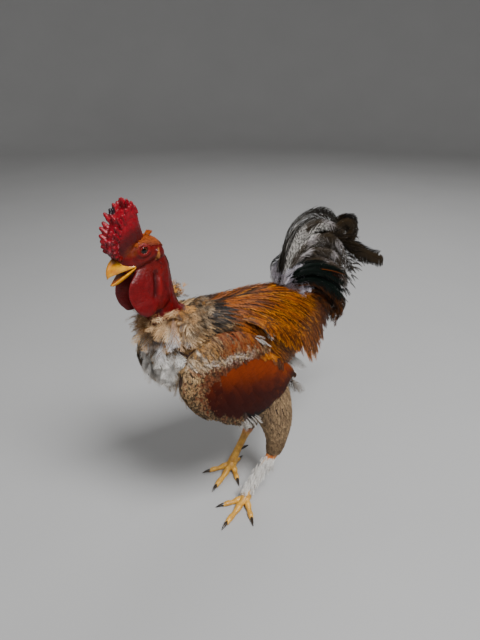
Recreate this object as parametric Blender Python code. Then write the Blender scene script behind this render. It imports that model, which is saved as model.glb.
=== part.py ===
"""Naked-neck rooster, standing, life size.

Metres, +Z up. The bird faces -Y and its left side is +X. The floor is Z = 0, and the
middle of the bird's bounding box stands over the origin.
"""

import math
import random

import bmesh
import bpy
import numpy as np
from mathutils import Matrix, Vector
from mathutils.bvhtree import BVHTree

# Clearance between neighbouring pieces, and the seed of every random draw
GAP = 0.0003
SEED = 11

# The middle of the bird's box, counted from between its feet
MIDDLE = Vector((0.0045, 0.0727, 0.0))

# Stance: feet, hocks and hips, left foot a little ahead of the right one
STANCE_HALF = 0.037
FOOT_Y = {"left": -0.010, "right": 0.022}
HOCK_Y = {"left": 0.045, "right": 0.058}
HOCK_Z = 0.066
ANKLE_Z = 0.012
FOOT_HEADING = {"left": 20.0, "right": 24.0}

# Head frame: its middle, between the eyes and the ears, and how far the bill points down
HEAD_AT = Vector((0.0, -0.135, 0.420))
HEAD_DROP = math.radians(25.0)

# Eye, in the head frame: forward, up and out from the head's middle
EYE_AT = (0.001, 0.006, 0.0127)
EYE_RADIUS = 0.0056

# Mouth: the corner of the gape and the slopes of its two edges
GAPE = (0.0175, -0.0058)
MOUTH_UPPER_SLOPE = 0.16
MOUTH_LOWER_SLOPE = -0.21

# Rows of the trunk along Y: y, middle z, half width, rise above and drop below the middle
TRUNK_ROWS = [
    (-0.132, 0.284, 0.010, 0.012, 0.012),
    (-0.124, 0.282, 0.030, 0.030, 0.028),
    (-0.108, 0.278, 0.044, 0.050, 0.040),
    (-0.082, 0.270, 0.053, 0.067, 0.050),
    (-0.050, 0.262, 0.058, 0.074, 0.060),
    (-0.010, 0.255, 0.060, 0.077, 0.068),
    (0.030, 0.254, 0.057, 0.076, 0.070),
    (0.065, 0.260, 0.050, 0.067, 0.063),
    (0.100, 0.270, 0.040, 0.052, 0.051),
    (0.130, 0.280, 0.030, 0.037, 0.037),
    (0.152, 0.287, 0.018, 0.022, 0.022),
    (0.162, 0.291, 0.007, 0.009, 0.009),
]

# Rows of the neck from the head down: y, z and radius across, radius front to back
NECK_ROWS = [
    (-0.1235, 0.412, 0.0135, 0.0145),
    (-0.1205, 0.400, 0.0155, 0.0175),
    (-0.1185, 0.385, 0.0170, 0.0185),
    (-0.1155, 0.367, 0.0185, 0.0195),
    (-0.1110, 0.349, 0.0215, 0.0220),
    (-0.1050, 0.332, 0.0260, 0.0260),
    (-0.0970, 0.316, 0.0280, 0.0280),
    (-0.0900, 0.302, 0.0240, 0.0240),
]

# Rows of the head along its forward axis: forward, top, bottom, half width
HEAD_ROWS = [
    (0.0300, 0.0108, -0.0118, 0.0072),
    (0.0270, 0.0122, -0.0138, 0.0098),
    (0.0200, 0.0148, -0.0156, 0.0124),
    (0.0110, 0.0178, -0.0165, 0.0150),
    (0.0010, 0.0192, -0.0180, 0.0166),
    (-0.0090, 0.0176, -0.0205, 0.0172),
    (-0.0170, 0.0132, -0.0215, 0.0156),
    (-0.0225, 0.0070, -0.0190, 0.0118),
    (-0.0250, 0.0020, -0.0120, 0.0060),
]

# Rows of the upper and the lower bill: forward, outer edge, half width
BILL_UPPER_ROWS = [
    (0.0180, -0.0020, 0.0135),
    (0.0225, 0.0020, 0.0125),
    (0.0275, 0.0078, 0.0108),
    (0.0320, 0.0118, 0.0090),
    (0.0380, 0.0104, 0.0070),
    (0.0435, 0.0066, 0.0047),
    (0.0470, 0.0022, 0.0022),
]
BILL_LOWER_ROWS = [
    (0.0180, -0.0098, 0.0132),
    (0.0230, -0.0125, 0.0118),
    (0.0290, -0.0150, 0.0094),
    (0.0360, -0.0160, 0.0068),
    (0.0430, -0.0160, 0.0043),
    (0.0480, -0.0150, 0.0020),
]
BILL_TIP_DROP = 0.0030

# Rows of the comb above the head: up, front, rear, half width
COMB_ROWS = [
    (0.0060, 0.0270, -0.0080, 0.0100),
    (0.0130, 0.0315, -0.0110, 0.0118),
    (0.0210, 0.0310, -0.0125, 0.0135),
    (0.0300, 0.0262, -0.0140, 0.0150),
    (0.0390, 0.0165, -0.0160, 0.0152),
    (0.0460, 0.0060, -0.0175, 0.0135),
    (0.0505, -0.0040, -0.0165, 0.0085),
]

# Rows of a wattle from its root down: z, middle y, half length along Y, out from the middle
WATTLE_ROWS = [
    (0.4035, -0.1475, 0.0085, 0.0085),
    (0.3960, -0.1480, 0.0125, 0.0120),
    (0.3870, -0.1470, 0.0158, 0.0152),
    (0.3760, -0.1450, 0.0176, 0.0178),
    (0.3650, -0.1435, 0.0168, 0.0198),
    (0.3560, -0.1428, 0.0122, 0.0212),
    (0.3495, -0.1425, 0.0055, 0.0218),
]
WATTLE_HALF_THICK = 0.0032

# Ruff: the front of its half ring, its two ends on the shoulders, and its thickness
RUFF_FRONT = Vector((0.0, -0.121, 0.313))
RUFF_END = Vector((0.036, -0.088, 0.343))
RUFF_RADIUS = 0.0115

# Back plumage: start and count of each tier of saddle hackles and of the cape
SADDLE_TIERS = [(-0.020, 6), (0.016, 5), (0.050, 6)]
SADDLE_END_Y = 0.070
CAPE_TIERS = [(-0.066, 4), (-0.044, 3)]
HACKLE_AXIS_Z = 0.272

# Wing: wrist and tip in the side view, and rows along the line between them
WING_WRIST = Vector((0.0, -0.122, 0.268))
WING_TIP = Vector((0.0, 0.078, 0.203))
WING_ROWS = [
    (0.000, 0.014, 0.012, 0.048, 0.009),
    (0.014, 0.044, 0.030, 0.051, 0.013),
    (0.035, 0.061, 0.048, 0.052, 0.015),
    (0.065, 0.066, 0.062, 0.053, 0.016),
    (0.095, 0.062, 0.070, 0.053, 0.016),
    (0.125, 0.048, 0.071, 0.053, 0.015),
    (0.155, 0.030, 0.056, 0.053, 0.012),
    (0.180, 0.015, 0.035, 0.052, 0.009),
    (0.198, 0.004, 0.012, 0.051, 0.005),
]

# Thigh from the hip down: z, y forward of the hock line, half length, half width
THIGH_ROWS = [
    (0.200, -0.018, 0.034, 0.022),
    (0.170, -0.012, 0.038, 0.024),
    (0.142, -0.002, 0.032, 0.022),
    (0.116, 0.005, 0.026, 0.018),
    (0.094, 0.006, 0.0195, 0.0150),
    (0.077, 0.003, 0.0138, 0.0120),
    (0.068, 0.000, 0.0100, 0.0096),
]

# Shank from the hock down: share of its length, half depth, half width
SHANK_ROWS = [
    (0.00, 0.0092, 0.0080),
    (0.10, 0.0088, 0.0076),
    (0.24, 0.0066, 0.0058),
    (0.55, 0.0060, 0.0053),
    (0.82, 0.0064, 0.0057),
    (1.00, 0.0074, 0.0068),
]

# Toes: name, angle from the foot's heading, length without the claw, radius at the root
TOES = [
    ("middle", 0.0, 0.057, 0.0054),
    ("inner", 40.0, 0.037, 0.0051),
    ("outer", -42.0, 0.041, 0.0050),
    ("hind", 172.0, 0.020, 0.0045),
]
CLAW_LENGTH = 0.012
SPUR_LENGTH = 0.016

# Tail: the front and the rear of its root, and its plumes from front to rear: first and
# last angle above level, length, half width, and how far out from the middle the tip stands
TAIL_FRONT = Vector((0.0, 0.086, 0.337))
TAIL_REAR = Vector((0.0, 0.130, 0.311))
TAIL_PLUMES = [
    (66.0, -70.0, 0.172, 0.0090, 0.008),
    (64.0, -20.0, 0.140, 0.0095, 0.013),
    (56.0, 0.0, 0.140, 0.0100, 0.018),
    (47.0, 5.0, 0.150, 0.0100, 0.022),
    (38.0, 0.0, 0.155, 0.0105, 0.024),
    (28.0, -8.0, 0.165, 0.0105, 0.026),
    (12.0, -20.0, 0.206, 0.0110, 0.022),
    (4.0, -24.0, 0.125, 0.0095, 0.027),
    (-8.0, -70.0, 0.115, 0.0075, 0.026),
]

# Rows of the tail's root along its lean: reach, half width, half length
TAIL_ROWS = [
    (-0.016, 0.020, 0.026),
    (0.000, 0.019, 0.029),
    (0.016, 0.015, 0.026),
    (0.032, 0.009, 0.017),
    (0.042, 0.003, 0.006),
]

# Shares of a vane's length at which its rings stand, by the count of its stretches
VANE_STEPS = {
    3: (0.0, 0.42, 0.86, 1.0),
    4: (0.0, 0.32, 0.64, 0.91, 1.0),
    5: (0.0, 0.24, 0.48, 0.73, 0.94, 1.0),
}
VANE_THICK = 0.0011

# Base colours of the plain materials
COLOURS = {
    "skin": (0.42, 0.03, 0.03, 1.0),
    "comb": (0.50, 0.02, 0.03, 1.0),
    "bill": (0.72, 0.42, 0.08, 1.0),
    "eye": (0.10, 0.04, 0.02, 1.0),
    "lobe": (0.80, 0.62, 0.44, 1.0),
    "gold": (0.50, 0.20, 0.03, 1.0),
    "mahogany": (0.16, 0.03, 0.01, 1.0),
    "cream": (0.74, 0.58, 0.40, 1.0),
    "tail": (0.06, 0.05, 0.045, 1.0),
    "stipple": (0.30, 0.25, 0.20, 1.0),
    "leg": (0.70, 0.44, 0.12, 1.0),
    "horn": (0.12, 0.09, 0.07, 1.0),
}


def clear_scene():
    """Empties the scene without closing the file."""
    for obj in list(bpy.data.objects):
        bpy.data.objects.remove(obj, do_unlink=True)


def make_material(name, roughness, metallic=0.0):
    """Makes one plain material in the colour of that name."""
    mat = bpy.data.materials.new(name)
    mat.use_nodes = True
    shader = mat.node_tree.nodes["Principled BSDF"]
    shader.inputs["Base Color"].default_value = COLOURS[name]
    shader.inputs["Roughness"].default_value = roughness
    shader.inputs["Metallic"].default_value = metallic
    return mat


def spline_rows(rows, count):
    """Reads count rows from a smooth curve through the given ones."""
    table = np.array(rows, dtype=float)
    padded = np.vstack([2 * table[0] - table[1], table, 2 * table[-1] - table[-2]])
    out = []
    for step in np.linspace(0.0, len(table) - 1.0, count):
        i = min(int(step), len(table) - 2)
        f = step - i
        a, b, c, d = padded[i : i + 4]
        curve = 2 * b + (c - a) * f + (2 * a - 5 * b + 4 * c - d) * f**2
        curve = curve + (3 * b - a - 3 * c + d) * f**3
        out.append(0.5 * curve)
    return np.array(out)


def egg_ring(centre, side, up, half_width, rise, drop, sides, power=2.0):
    """A closed ring that is rounder or squarer by its power, with its own rise and drop."""
    ring = []
    for k in range(sides):
        angle = 2 * math.pi * k / sides
        c = math.cos(angle)
        s = math.sin(angle)
        across = math.copysign(abs(c) ** (2 / power), c) * half_width
        height = math.copysign(abs(s) ** (2 / power), s) * (rise if s > 0 else drop)
        ring.append(centre + side * across + up * height)
    return ring


def skin_rings(rings):
    """Joins rings of equal count into one closed surface, with its ends fanned shut."""
    bm = bmesh.new()
    loops = [[bm.verts.new(p) for p in ring] for ring in rings]
    for first, second in zip(loops, loops[1:]):
        count = len(first)
        for k in range(count):
            n = (k + 1) % count
            bm.faces.new((first[k], first[n], second[n]))
            bm.faces.new((first[k], second[n], second[k]))
    for loop, turn in ((loops[0], -1), (loops[-1], 1)):
        middle = sum((v.co for v in loop), Vector()) / len(loop)
        hub = bm.verts.new(middle)
        for k in range(len(loop)):
            n = (k + 1) % len(loop)
            corners = (loop[k], loop[n], hub)
            bm.faces.new(corners if turn > 0 else corners[::-1])
    bmesh.ops.recalc_face_normals(bm, faces=bm.faces)
    return bm


def new_object(name, bm, mat, collection, smooth=True):
    """Puts a bmesh into a named object with its material."""
    mesh = bpy.data.meshes.new(name)
    bm.to_mesh(mesh)
    bm.free()
    if smooth:
        mesh.shade_smooth()
        mesh.set_sharp_from_angle(angle=math.radians(50.0))
    if mat is not None:
        mesh.materials.append(mat)
    obj = bpy.data.objects.new(name, mesh)
    collection.objects.link(obj)
    return obj


def tube_rings(points, radii, sides, flat=1.0, up_hint=Vector((0.0, 0.0, 1.0))):
    """Rings along a path; flat squeezes them across the path's side."""
    rings = []
    for k, point in enumerate(points):
        ahead = points[min(k + 1, len(points) - 1)]
        behind = points[max(k - 1, 0)]
        tangent = (ahead - behind).normalized()
        side = tangent.cross(up_hint)
        if side.length < 1e-6:
            side = Vector((1.0, 0.0, 0.0))
        side.normalize()
        up = side.cross(tangent).normalized()
        radius = radii[k]
        rings.append(egg_ring(point, side, up, radius * flat, radius, radius, sides))
    return rings


def boolean(target, others, operation, solver="EXACT"):
    """Joins to target, or cuts from it, every other object, and removes those."""
    group = bpy.data.collections.new("operands")
    bpy.context.scene.collection.children.link(group)
    for other in others:
        for owner in list(other.users_collection):
            owner.objects.unlink(other)
        group.objects.link(other)
    modifier = target.modifiers.new("boolean", "BOOLEAN")
    modifier.operation = operation
    modifier.operand_type = "COLLECTION"
    modifier.collection = group
    modifier.solver = solver
    bpy.context.view_layer.update()
    evaluated = target.evaluated_get(bpy.context.evaluated_depsgraph_get())
    mesh = bpy.data.meshes.new_from_object(evaluated)
    target.modifiers.clear()
    old = target.data
    target.data = mesh
    bpy.data.meshes.remove(old)
    mesh.name = target.name
    for other in list(group.objects):
        bpy.data.objects.remove(other, do_unlink=True)
    bpy.data.collections.remove(group)


def keep_largest(obj):
    """Keeps only the largest closed surface, tidied of slivers, in triangles."""
    for reach in (0.00001, 0.000002, 0.0):
        bm = bmesh.new()
        bm.from_mesh(obj.data)
        bmesh.ops.triangulate(bm, faces=bm.faces)
        if reach > 0.0:
            bmesh.ops.remove_doubles(bm, verts=bm.verts, dist=reach)
            bmesh.ops.dissolve_degenerate(bm, edges=bm.edges, dist=reach)
            bmesh.ops.triangulate(bm, faces=bm.faces)
        drop_scraps(bm)
        if all(len(edge.link_faces) == 2 for edge in bm.edges):
            break
        if reach > 0.0:
            bm.free()
    bmesh.ops.recalc_face_normals(bm, faces=bm.faces)
    bm.to_mesh(obj.data)
    bm.free()


def drop_scraps(bm):
    """Deletes all but the largest of the surfaces in a bmesh."""
    left = set(bm.verts)
    shells = []
    while left:
        stack = [left.pop()]
        shell = set(stack)
        while stack:
            vert = stack.pop()
            for edge in vert.link_edges:
                other = edge.other_vert(vert)
                if other in left:
                    left.remove(other)
                    shell.add(other)
                    stack.append(other)
        shells.append(shell)
    shells.sort(key=shell_volume, reverse=True)
    for shell in shells[1:]:
        bmesh.ops.delete(bm, geom=list(shell), context="VERTS")


def shell_volume(shell):
    """The volume inside one closed shell of triangles."""
    faces = {face for vert in shell for face in vert.link_faces}
    total = 0.0
    for face in faces:
        a, b, c = (v.co for v in face.verts[:3])
        total += a.dot(b.cross(c)) / 6.0
    return abs(total)


def grown_copy(obj, grow, collection):
    """A copy of a solid, swollen along its normals, to cut its neighbours clear of it."""
    bm = bmesh.new()
    bm.from_mesh(obj.data)
    bm.normal_update()
    places = [vert.co + vert.normal * grow * vert.calc_shell_factor() for vert in bm.verts]
    for vert, place in zip(bm.verts, places):
        vert.co = place
    return new_object("cut", bm, None, collection)


def surface_of(objects):
    """A search tree over the faces of some objects."""
    verts = []
    faces = []
    for obj in objects:
        start = len(verts)
        verts.extend(v.co.copy() for v in obj.data.vertices)
        faces.extend([start + i for i in p.vertices] for p in obj.data.polygons)
    return BVHTree.FromPolygons(verts, faces)


def vane(points, normals, half_widths, tilt=0.0, thick=VANE_THICK):
    """One closed feather vane along points, flat against the normals, blunt at its end."""
    bm = bmesh.new()
    loops = []
    for k, point in enumerate(points[:-1]):
        tangent = (points[k + 1] - points[max(k - 1, 0)]).normalized()
        normal = normals[k] - tangent * normals[k].dot(tangent)
        normal.normalize()
        lean = Matrix.Rotation(tilt, 3, tangent)
        edge = lean @ tangent.cross(normal) * half_widths[k]
        top = lean @ normal * (thick / 2)
        ring = [point - edge + top, point + edge + top, point + edge - top, point - edge - top]
        loops.append([bm.verts.new(place) for place in ring])
    for first, second in zip(loops, loops[1:]):
        for k in range(4):
            n = (k + 1) % 4
            if k < 2:
                bm.faces.new((first[k], first[n], second[n]))
                bm.faces.new((first[k], second[n], second[k]))
            else:
                bm.faces.new((first[k], first[n], second[k]))
                bm.faces.new((first[n], second[n], second[k]))
    tip = bm.verts.new(points[-1])
    last = loops[-1]
    for k in range(4):
        bm.faces.new((last[k], last[(k + 1) % 4], tip))
    bm.faces.new(loops[0][::-1])
    bmesh.ops.recalc_face_normals(bm, faces=bm.faces)
    bmesh.ops.triangulate(bm, faces=bm.faces)
    return bm


def taper(steps, widest, root_share=0.60, tip_share=0.62):
    """Half widths of a vane's rings: narrow at the root, widest past the middle, then less."""
    places = (0.0, 0.35, 0.65, 0.85, 1.0)
    shares = (root_share, 0.92, 1.0, 0.88, tip_share * 0.6)
    return [widest * float(np.interp(f, places, shares)) for f in VANE_STEPS[steps]]


def in_head(forward, up, out=0.0):
    """Turns a place in the head frame into a place in the model."""
    ahead = Vector((0.0, -math.cos(HEAD_DROP), -math.sin(HEAD_DROP)))
    above = Vector((0.0, -math.sin(HEAD_DROP), math.cos(HEAD_DROP)))
    return HEAD_AT + ahead * forward + above * up + Vector((out, 0.0, 0.0))


def head_way(forward, up, out=0.0):
    """Turns a direction in the head frame into a unit direction in the model."""
    return (in_head(forward, up, out) - HEAD_AT).normalized()


def trunk_rings(grow=0.0):
    """Rings of the trunk, grown all round for cutting."""
    rows = spline_rows(TRUNK_ROWS, 16)
    rings = []
    last = len(rows) - 1
    for k, (y, z, half, rise, drop) in enumerate(rows):
        shift = -grow if k == 0 else grow if k == last else 0.0
        centre = Vector((0.0, y + shift, z))
        side = Vector((1.0, 0.0, 0.0))
        up = Vector((0.0, 0.0, 1.0))
        rings.append(egg_ring(centre, side, up, half + grow, rise + grow, drop + grow, 24, 2.15))
    return rings


def neck_rings(grow=0.0):
    """Rings of the bare neck from the head down into the trunk."""
    rows = spline_rows(NECK_ROWS, 10)
    rings = []
    for k, (y, z, across, deep) in enumerate(rows):
        ahead = rows[min(k + 1, len(rows) - 1)]
        behind = rows[max(k - 1, 0)]
        tangent = Vector((0.0, ahead[0] - behind[0], ahead[1] - behind[1])).normalized()
        side = Vector((1.0, 0.0, 0.0))
        up = side.cross(tangent)
        rings.append(egg_ring(Vector((0.0, y, z)), side, up, across + grow, deep + grow, deep + grow, 16))
    return rings


def head_rings(grow=0.0):
    """Rings of the head from the bill's root to the nape."""
    rows = spline_rows(HEAD_ROWS, 11)
    rings = []
    last = len(rows) - 1
    for k, (forward, top, bottom, half) in enumerate(rows):
        shift = grow if k == 0 else -grow if k == last else 0.0
        middle = (top + bottom) / 2
        centre = in_head(forward + shift, middle)
        tall = (top - bottom) / 2 + grow
        side = Vector((1.0, 0.0, 0.0))
        rings.append(egg_ring(centre, side, head_way(0, 1), half + grow, tall, tall, 16, 2.2))
    return rings


def bill_rings(rows, upper, grow=0.0):
    """Rings of one half of the bill, flat along the mouth and rounded outside."""
    slope = MOUTH_UPPER_SLOPE if upper else MOUTH_LOWER_SLOPE
    sign = 1.0 if upper else -1.0
    rings = []
    table = spline_rows(rows, 7)
    for forward, outer, half in table:
        inner = GAPE[1] + slope * (forward - GAPE[0]) + sign * 0.0003
        height = abs(outer - inner) + grow
        centre = in_head(forward, inner)
        up = head_way(0, sign)
        side = Vector((sign, 0.0, 0.0))
        rings.append(egg_ring(centre, side, up, half + grow, height, 0.0002 + grow, 14, 2.1))
    tip_forward = table[-1][0] + 0.0016 + grow
    tip_up = GAPE[1] + slope * (tip_forward - GAPE[0])
    tip_up -= BILL_TIP_DROP * 0.6 if upper else 0.0
    tip = in_head(tip_forward, tip_up)
    small = 0.0007 + grow
    rings.append(egg_ring(tip, Vector((sign, 0.0, 0.0)), head_way(0, sign), small, small, small, 14))
    return rings


def mouth_cutter(collection):
    """The wedge of air between the open halves of the bill."""
    bm = bmesh.new()
    far = 0.070
    corners = []
    for out in (-0.03, 0.03):
        corners.append(in_head(GAPE[0], GAPE[1], out))
        corners.append(in_head(far, GAPE[1] + MOUTH_UPPER_SLOPE * (far - GAPE[0]), out))
        corners.append(in_head(far, GAPE[1] + MOUTH_LOWER_SLOPE * (far - GAPE[0]), out))
    verts = [bm.verts.new(c) for c in corners]
    bm.faces.new(verts[:3])
    bm.faces.new(verts[3:][::-1])
    for k in range(3):
        n = (k + 1) % 3
        bm.faces.new((verts[k], verts[3 + k], verts[3 + n], verts[n]))
    bmesh.ops.recalc_face_normals(bm, faces=bm.faces)
    return new_object("mouth_cutter", bm, None, collection)


def ball(centre, radii, sides, rings, turn=None):
    """A round or flattened ball."""
    bm = bmesh.new()
    bmesh.ops.create_uvsphere(bm, u_segments=sides, v_segments=rings, radius=1.0)
    bmesh.ops.scale(bm, vec=Vector(radii), verts=bm.verts)
    if turn is not None:
        bmesh.ops.transform(bm, matrix=turn.to_4x4(), verts=bm.verts)
    bmesh.ops.translate(bm, vec=centre, verts=bm.verts)
    return bm


def lid_ring(side, collection):
    """The raised lids round one eye."""
    forward, up, out = EYE_AT
    centre = in_head(forward, up, side * (out + 0.0036))
    major = 0.0050
    points = []
    for k in range(12):
        angle = 2 * math.pi * k / 12
        points.append((math.cos(angle) * major, math.sin(angle) * major * 0.92))
    bm = bmesh.new()
    rows = []
    for a, b in points:
        spoke = (head_way(1, 0) * a + head_way(0, 1) * b).normalized()
        middle = centre + head_way(1, 0) * a + head_way(0, 1) * b
        outward = Vector((side, 0.0, 0.0))
        corner = []
        for k in range(5):
            angle = 2 * math.pi * k / 5
            corner.append(middle + spoke * 0.0013 * math.cos(angle) + outward * 0.0015 * math.sin(angle))
        rows.append([bm.verts.new(p) for p in corner])
    for k, row in enumerate(rows):
        following = rows[(k + 1) % len(rows)]
        for m in range(5):
            n = (m + 1) % 5
            bm.faces.new((row[m], row[n], following[n], following[m]))
    bmesh.ops.recalc_face_normals(bm, faces=bm.faces)
    return new_object("lid", bm, None, collection)


def build_head(mats, collection):
    """Head with its lids, sockets, mouth and the beds of the bill."""
    head = new_object("head", skin_rings(head_rings()), mats["skin"], collection)
    boolean(head, [lid_ring(side, collection) for side in (-1.0, 1.0)], "UNION")
    cutters = [mouth_cutter(collection)]
    for rows, upper in ((BILL_UPPER_ROWS, True), (BILL_LOWER_ROWS, False)):
        cutters.append(new_object("bed", skin_rings(bill_rings(rows, upper, GAP)), None, collection))
    for side in (-1.0, 1.0):
        forward, up, out = EYE_AT
        centre = in_head(forward, up, side * out)
        radius = EYE_RADIUS + GAP
        cutters.append(new_object("socket", ball(centre, (radius,) * 3, 12, 8), None, collection))
    for cutter in cutters:
        boolean(head, [cutter], "DIFFERENCE")
    keep_largest(head)
    return head


def build_bill(name, rows, upper, mats, collection):
    """One half of the bill, with the nostrils sunk in the upper one."""
    bill = new_object(name, skin_rings(bill_rings(rows, upper)), mats["bill"], collection)
    boolean(bill, [mouth_cutter(collection)], "DIFFERENCE")
    if upper:
        for side in (-1.0, 1.0):
            place = in_head(0.0335, 0.0066, side * 0.0081)
            turn = Matrix.Rotation(HEAD_DROP, 3, "X")
            pit = ball(place, (0.0012, 0.0022, 0.0009), 10, 6, turn)
            boolean(bill, [new_object("nostril", pit, None, collection)], "DIFFERENCE")
    keep_largest(bill)
    return bill


def spike(root, way, length, radius, sides, bend, collection):
    """A tapered round point of the comb."""
    points = []
    radii = []
    for f, share in ((-0.20, 0.95), (0.45, 0.90), (0.90, 0.42)):
        points.append(root + way * (length * f) + bend * (length * f * abs(f)))
        radii.append(radius * share)
    return new_object("spike", skin_rings(tube_rings(points, radii, sides)), None, collection)


def comb_row(level):
    """Front, rear and half width of the comb at a level above the head's middle."""
    table = np.array(COMB_ROWS)
    return [float(np.interp(level, table[:, 0], table[:, k])) for k in (1, 2, 3)]


def build_comb(mats, collection, rng):
    """The rose comb: a leaning crown with points round its rim and warts on its face."""
    rings = []
    for up, front, rear, half in spline_rows(COMB_ROWS, 7):
        centre = in_head((front + rear) / 2, up)
        long_half = (front - rear) / 2
        side = Vector((1.0, 0.0, 0.0))
        rings.append(egg_ring(centre, side, head_way(1, 0), half, long_half, long_half, 12, 2.6))
    comb = new_object("comb", skin_rings(rings), mats["comb"], collection)
    spikes = []
    for side in (-1.0, 1.0):
        for k in range(4):
            level = 0.0150 + 0.0090 * k
            front, rear, half = comb_row(level)
            root = in_head(front - 0.0040, level + 0.001, side * (half - 0.0038))
            way = head_way(0.55 - 0.12 * k, 0.35 + 0.18 * k, side * (0.95 - 0.10 * k))
            length = 0.0085 + 0.0008 * k + rng.uniform(-0.0008, 0.0012)
            bend = head_way(-0.2, 1.0) * 0.25
            spikes.append(spike(root, way, length, 0.0034, 6, bend, collection))
    for k in range(5):
        out = -0.0105 + 0.00525 * k
        root = in_head(-0.0085 - 0.001 * abs(k - 2), 0.0455, out)
        way = head_way(-0.18, 1.0, out * 26)
        length = 0.0140 - 0.0012 * abs(k - 2) + rng.uniform(-0.001, 0.001)
        spikes.append(spike(root, way, length, 0.0036, 6, head_way(-1, 0) * 0.2, collection))
    for row in range(3):
        for k in range(3):
            level = 0.0200 + 0.0100 * row
            front, rear, half = comb_row(level)
            out = (k - 1) * half * 0.52 + rng.uniform(-0.0008, 0.0008)
            root = in_head(front - 0.0022, level, out)
            way = head_way(0.85, 0.55 + 0.08 * row, out * 20)
            spikes.append(spike(root, way, 0.0048, 0.0032, 5, Vector(), collection))
    boolean(comb, spikes, "UNION")
    for rings in (head_rings(GAP), bill_rings(BILL_UPPER_ROWS, True, GAP)):
        boolean(comb, [new_object("cut", skin_rings(rings), None, collection)], "DIFFERENCE")
    keep_largest(comb)
    return comb


def wattle_rings(side, grow=0.0):
    """Rings of one wattle, a thin lobe that swells toward its lower edge."""
    rings = []
    table = spline_rows(WATTLE_ROWS, 8)
    for k, (z, y, half, out) in enumerate(table):
        fold = 0.0010 * math.sin(k * 1.4)
        centre = Vector((side * (out + fold), y, z))
        thick = WATTLE_HALF_THICK * (0.85 + 0.25 * k / 7) + grow
        ahead = Vector((0.0, -side, 0.0))
        rings.append(egg_ring(centre, ahead, Vector((1.0, 0.0, 0.0)), half + grow, thick, thick, 12, 2.0))
    return rings


def build_wattle(name, side, mats, collection):
    """One wattle, cut clear of the head, the bill and the neck."""
    wattle = new_object(name, skin_rings(wattle_rings(side)), mats["comb"], collection)
    for rings in (head_rings(GAP), bill_rings(BILL_LOWER_ROWS, False, GAP), neck_rings(GAP)):
        boolean(wattle, [new_object("cut", skin_rings(rings), None, collection)], "DIFFERENCE")
    keep_largest(wattle)
    return wattle


def build_earlobe(name, side, mats, collection):
    """One ear lobe, a slanted oval cushion behind the eye."""
    place = in_head(-0.0105, -0.0078, side * 0.0172)
    turn = Matrix.Rotation(math.radians(-20.0), 3, "X")
    lobe = new_object(name, ball(place, (0.0028, 0.0034, 0.0060), 10, 6, turn), mats["lobe"], collection)
    for rings in (head_rings(GAP), neck_rings(GAP)):
        boolean(lobe, [new_object("cut", skin_rings(rings), None, collection)], "DIFFERENCE")
    keep_largest(lobe)
    return lobe


def ruff_point(share):
    """A point of the ruff's half ring, from the right shoulder (-1) to the left one (1)."""
    angle = share * math.pi / 2
    lift = abs(math.sin(angle)) ** 1.6
    x = math.sin(angle) * RUFF_END.x
    y = RUFF_FRONT.y + (RUFF_END.y - RUFF_FRONT.y) * (1 - math.cos(angle))
    z = RUFF_FRONT.z + (RUFF_END.z - RUFF_FRONT.z) * lift
    return Vector((x, y, z))


def ruff_lock(share, tier, rng):
    """One curled lock of the ruff; the upper tiers stand out, the lowest hangs."""
    root = ruff_point(share)
    outward = Vector((root.x * 1.3, root.y + 0.094, 0.0)).normalized()
    level = (0.80, 0.15, -0.50)[tier]
    way = (outward + Vector((0.0, 0.0, level))).normalized()
    length = (0.021, 0.025, 0.028)[tier] * rng.uniform(0.90, 1.12) * (0.80 + 0.25 * abs(share))
    sag = (0.45, 0.40, 0.35)[tier]
    line = []
    for f in VANE_STEPS[3]:
        reach = 0.15 + 1.05 * f
        line.append(root + way * (length * reach) + Vector((0.0, 0.0, -length * sag * reach * reach)))
    normal = Vector((0.0, 0.0, 1.0)) + outward * 0.5
    widths = taper(3, 0.0122 * rng.uniform(0.9, 1.12), 0.75)
    return vane(line, [normal] * 4, widths, math.radians(rng.uniform(-14.0, 14.0)), 0.0018)


def build_ruff(mats, collection, rng):
    """The tuft at the foot of the bare neck, of curled overlapping locks."""
    points = [ruff_point(-1 + 2 * k / 10) for k in range(11)]
    radii = [RUFF_RADIUS * (0.62 + 0.38 * math.sin(math.pi * k / 10)) for k in range(11)]
    ruff = new_object("ruff", skin_rings(tube_rings(points, radii, 10)), mats["cream"], collection)
    locks = []
    for tier, count in enumerate((5, 6, 6)):
        for k in range(count):
            share = -0.92 + 1.84 * k / (count - 1) + rng.uniform(-0.03, 0.03)
            locks.append(new_object("lock", ruff_lock(share, tier, rng), None, collection))
    boolean(ruff, locks, "UNION")
    for rings in (trunk_rings(GAP), neck_rings(GAP), wattle_rings(-1.0, GAP), wattle_rings(1.0, GAP)):
        boolean(ruff, [new_object("cut", skin_rings(rings), None, collection)], "DIFFERENCE")
    keep_largest(ruff)
    return ruff


def build_neck(mats, collection):
    """The bare neck, parted from the head and the trunk."""
    neck = new_object("neck", skin_rings(neck_rings()), mats["skin"], collection)
    for rings in (head_rings(GAP), trunk_rings(GAP)):
        boolean(neck, [new_object("cut", skin_rings(rings), None, collection)], "DIFFERENCE")
    keep_largest(neck)
    return neck


def wing_axes():
    """The wing's long direction in the side view and the direction square to it, upward."""
    along = (WING_TIP - WING_WRIST).normalized()
    return along, Vector((0.0, -along.z, along.y))


def wing_point(s, n):
    """A place on the wing in the side view: along from the wrist and up from its line."""
    along, upward = wing_axes()
    return WING_WRIST + along * s + upward * n


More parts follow.
